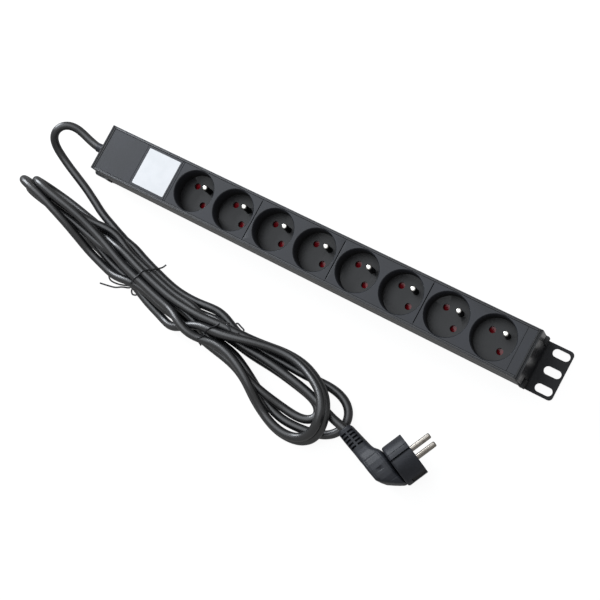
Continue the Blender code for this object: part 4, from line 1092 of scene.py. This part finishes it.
# %% [markdown]
# ## Finishes on the CAD pieces that stay
#
# Bars, carriers, wires and the clamp are seen only through the openings. Their CAD shape is kept as
# it is, under a real finish.

# %% Inner pieces
kept = {"wire_live": WIRE_BROWN, "wire_neutral": WIRE_BLUE, "wire_earth": WIRE_GREEN, "cord_clamp": CAP}
kept |= {"busbar_" + name: BRASS for name in ("live", "neutral", "earth")}
kept |= {"carrier_%d" % k: CARRIER for k in range(1, 5)}
for node, finish in kept.items():
    mesh = frame["nodes"][node].data
    mesh.materials.clear()
    mesh.materials.append(finish)
print(len(kept), "CAD pieces keep their shape")

# %% [markdown]
# ## The label
#
# The white label beside the first socket is a printed vinyl sticker. It is left blank. A thin plate with
# rounded corners carries the soft edge that a die-cut sticker has.

# %% Label
LABEL = moulded("label_vinyl", "", (224, 226, 228), (232, 233, 235), 0.36, 0.7, 0.003)
LABEL_X, LABEL_Y, LABEL_R = (-172.4, -137.5), 17.7, 0.9
label_corners = [(LABEL_X[0], -LABEL_Y), (LABEL_X[1], -LABEL_Y), (LABEL_X[1], LABEL_Y), (LABEL_X[0], LABEL_Y)]
label_edge = rounded([(x, y, LABEL_R) for x, y in label_corners], closed=True)
middle = label_edge.mean(axis=0)
stack = []
for lift, scale in ((0.02, 1.0), (0.12, 1.0), (0.17, 0.996)):
    outline = middle + (label_edge - middle) * scale
    stack.append(np.column_stack([outline, np.full(len(outline), FACE_Z + lift)]))
build("label", [grid(np.stack(stack)), fan(stack[0]), fan(stack[-1])], LABEL, (), 5)

# %% [markdown]
# ## Wire ties
#
# Two plastic-covered wires are wrapped round the hank and twisted. A wire lies over the runs: its height at
# any place is that of the highest cord beneath it, h = max(z + sqrt(R^2 - d^2)), blurred a little along the
# wire because it is stiff. The earth clips are turned with the plug's block here.


# %% Wires laid over the hank
TIE_R = 0.75
TIE_STEP = 0.6


def over_cord(flat):
    """Heights of a wire over the settled cord, along a line of (x, y)."""
    gap = np.linalg.norm(flat[:, None] - middle_line[None, :, :2], axis=2)
    reach = CORD_R + TIE_R
    top = middle_line[None, :, 2] + np.sqrt(np.maximum(reach**2 - gap**2, 0))
    return np.maximum(np.where(gap < reach, top, 0.0).max(axis=1), TIE_R + 0.05)


def tie_wire(corners):
    """A smooth wire through (x, y, lift) corners, lying on the cord where lift is 1 and on the floor at 0."""
    fine = evenly(smooth_through(np.array(corners, float)), TIE_STEP)
    raised = np.clip(fine[:, 2], 0, 1)
    height = over_cord(fine[:, :2]) * raised + (TIE_R + AIR) * (1 - raised)
    height = np.convolve(np.pad(height, 9, mode="edge"), bell_of(9, 3.0), "valid")
    return np.column_stack([fine[:, :2], height])


# Each wire's (x, y, lift) corners.
TIE_WIRES = {
    "tie_1_wrap": [
        (-126.5, -68, 0), (-128.6, -73, 1), (-131, -80, 1), (-134.3, -86, 1), (-137, -93, 1),
        (-142.4, -99.5, 1), (-144, -102, 0),
    ],
    "tie_1_end_long": [
        (-143, -100.5, 0.6), (-149, -103, 0), (-155.8, -105.3, 0), (-162.1, -108.6, 0), (-169.6, -110.3, 0),
        (-178.4, -111.8, 0),
    ],
    "tie_1_end_short": [
        (-142, -99.5, 0.6), (-149, -101, 0), (-161.1, -104.6, 0), (-170.5, -104.6, 0), (-174.4, -101, 0),
        (-179.3, -90.9, 0),
    ],
    "tie_1_loop": [
        (-143.6, -101, 0.3), (-144.9, -104, 0), (-142.6, -106.6, 0), (-138.6, -105.4, 0), (-138.1, -103.4, 0),
    ],
    "tie_2_wrap": [
        (-39.6, -87, 0), (-40.2, -92, 1), (-44, -98, 1), (-48.6, -105, 1), (-50, -110.5, 1), (-53.2, -114.6, 1),
        (-54.6, -117.4, 0),
    ],
    "tie_2_loop": [
        (-39.8, -88.6, 0.5), (-37, -87.2, 0.1), (-35.4, -84.9, 0), (-30.6, -86.1, 0), (-25.2, -88, 0.2),
        (-22, -91, 0.8), (-21, -94, 1),
    ],
    "tie_2_end": [
        (-39.6, -89.2, 0.5), (-35.7, -90, 1), (-32, -91.6, 1), (-28.6, -93.4, 1),
    ],
}
for name, corners in TIE_WIRES.items():
    skin = carried(tie_wire(corners), TIE_R, 12)
    build(name, [skin], TIE, ("twist_" + name[:5],), 60)

clips = [eased("plug_earth_clip_%d" % k, CLIP_PAINTED_SHADE, bevel=0.12) for k in (1, 2)]
to_block = block_frame @ plug_frame.inverted()
to_block.translation *= MM
for clip in clips:
    clip.data.transform(to_block)

# %% [markdown]
# ## Floor and light
#
# A pale floor and a white surround stand in for the studio's paper. One large soft lamp from the left gives
# the long shadows in the recesses, and a wider one above fills them; painted shade in the insert plastic
# darkens the recesses further. The camera and reflections each see the floor and the surround at a strength of
# their own.

# %% Floor
def source(tree, kind, strength):
    """A white glow or surround of one strength."""
    made = tree.nodes.new(kind)
    made.inputs["Color"].default_value = (1, 1, 1, 1)
    made.inputs["Strength"].default_value = strength
    return made.outputs[0]


def blend(tree, share, first, second):
    """The first shader where share is 0, and the second where it is 1."""
    chosen = tree.nodes.new("ShaderNodeMixShader")
    for entry, link in zip(chosen.inputs, (share, first, second)):
        tree.links.new(link, entry)
    return chosen.outputs[0]


FLOOR_HALF, FLOOR_Z = 4, -0.0004
corners = [(x * FLOOR_HALF, y * FLOOR_HALF, FLOOR_Z) for x, y in ((-1, -1), (1, -1), (1, 1), (-1, 1))]
floor_mesh = bpy.data.meshes.new("floor")
floor_mesh.from_pydata(corners, [], [(0, 1, 2, 3)])
floor = added("floor", floor_mesh)
paper = bpy.data.materials.new("paper")
paper.use_nodes = True
tree = paper.node_tree
matt = tree.nodes["Principled BSDF"]
matt.inputs["Base Color"].default_value = (0.9, 0.9, 0.9, 1)
matt.inputs["Roughness"].default_value = 1.0
matt.inputs["Specular IOR Level"].default_value = 0.0
rays = tree.nodes.new("ShaderNodeLightPath").outputs
share = Value(tree, rays["Is Camera Ray"]) * 0.84
both = blend(tree, share.socket, matt.outputs[0], source(tree, "ShaderNodeEmission", 1.1))
seen = blend(tree, rays["Is Glossy Ray"], both, source(tree, "ShaderNodeEmission", 0.34))
tree.links.new(seen, tree.nodes["Material Output"].inputs["Surface"])
floor_mesh.materials.append(paper)

# %% World and lamps
world = bpy.data.worlds.new("surround")
bpy.context.scene.world = world
world.use_nodes = True
sky = world.node_tree
rays = sky.nodes.new("ShaderNodeLightPath").outputs
lighting, mirrored, seen = (source(sky, "ShaderNodeBackground", strength) for strength in (0.3, 0.42, 1.0))
lit = blend(sky, rays["Is Glossy Ray"], lighting, mirrored)
sky.links.new(blend(sky, rays["Is Camera Ray"], lit, seen), sky.nodes["World Output"].inputs["Surface"])
DAYLIGHT = (0.9, 0.945, 1.0)


def lamp(name, towards, far, size, power):
    """A square soft lamp, far metres from the strip's middle in that direction, facing it."""
    light = bpy.data.lights.new(name, "AREA")
    light.energy = power
    light.color = DAYLIGHT
    light.size = size
    stand = added(name, light)
    stand.location = Vector(towards).normalized() * far
    stand.rotation_euler = (-stand.location).to_track_quat("-Z", "Y").to_euler()


lamp("key", (-1.5, 0.45, 0.74), 2.0, 0.9, 34)
lamp("overhead", (-0.24, 0.08, 1.0), 2.5, 2.6, 32)
bpy.context.scene.view_settings.view_transform = "Standard"
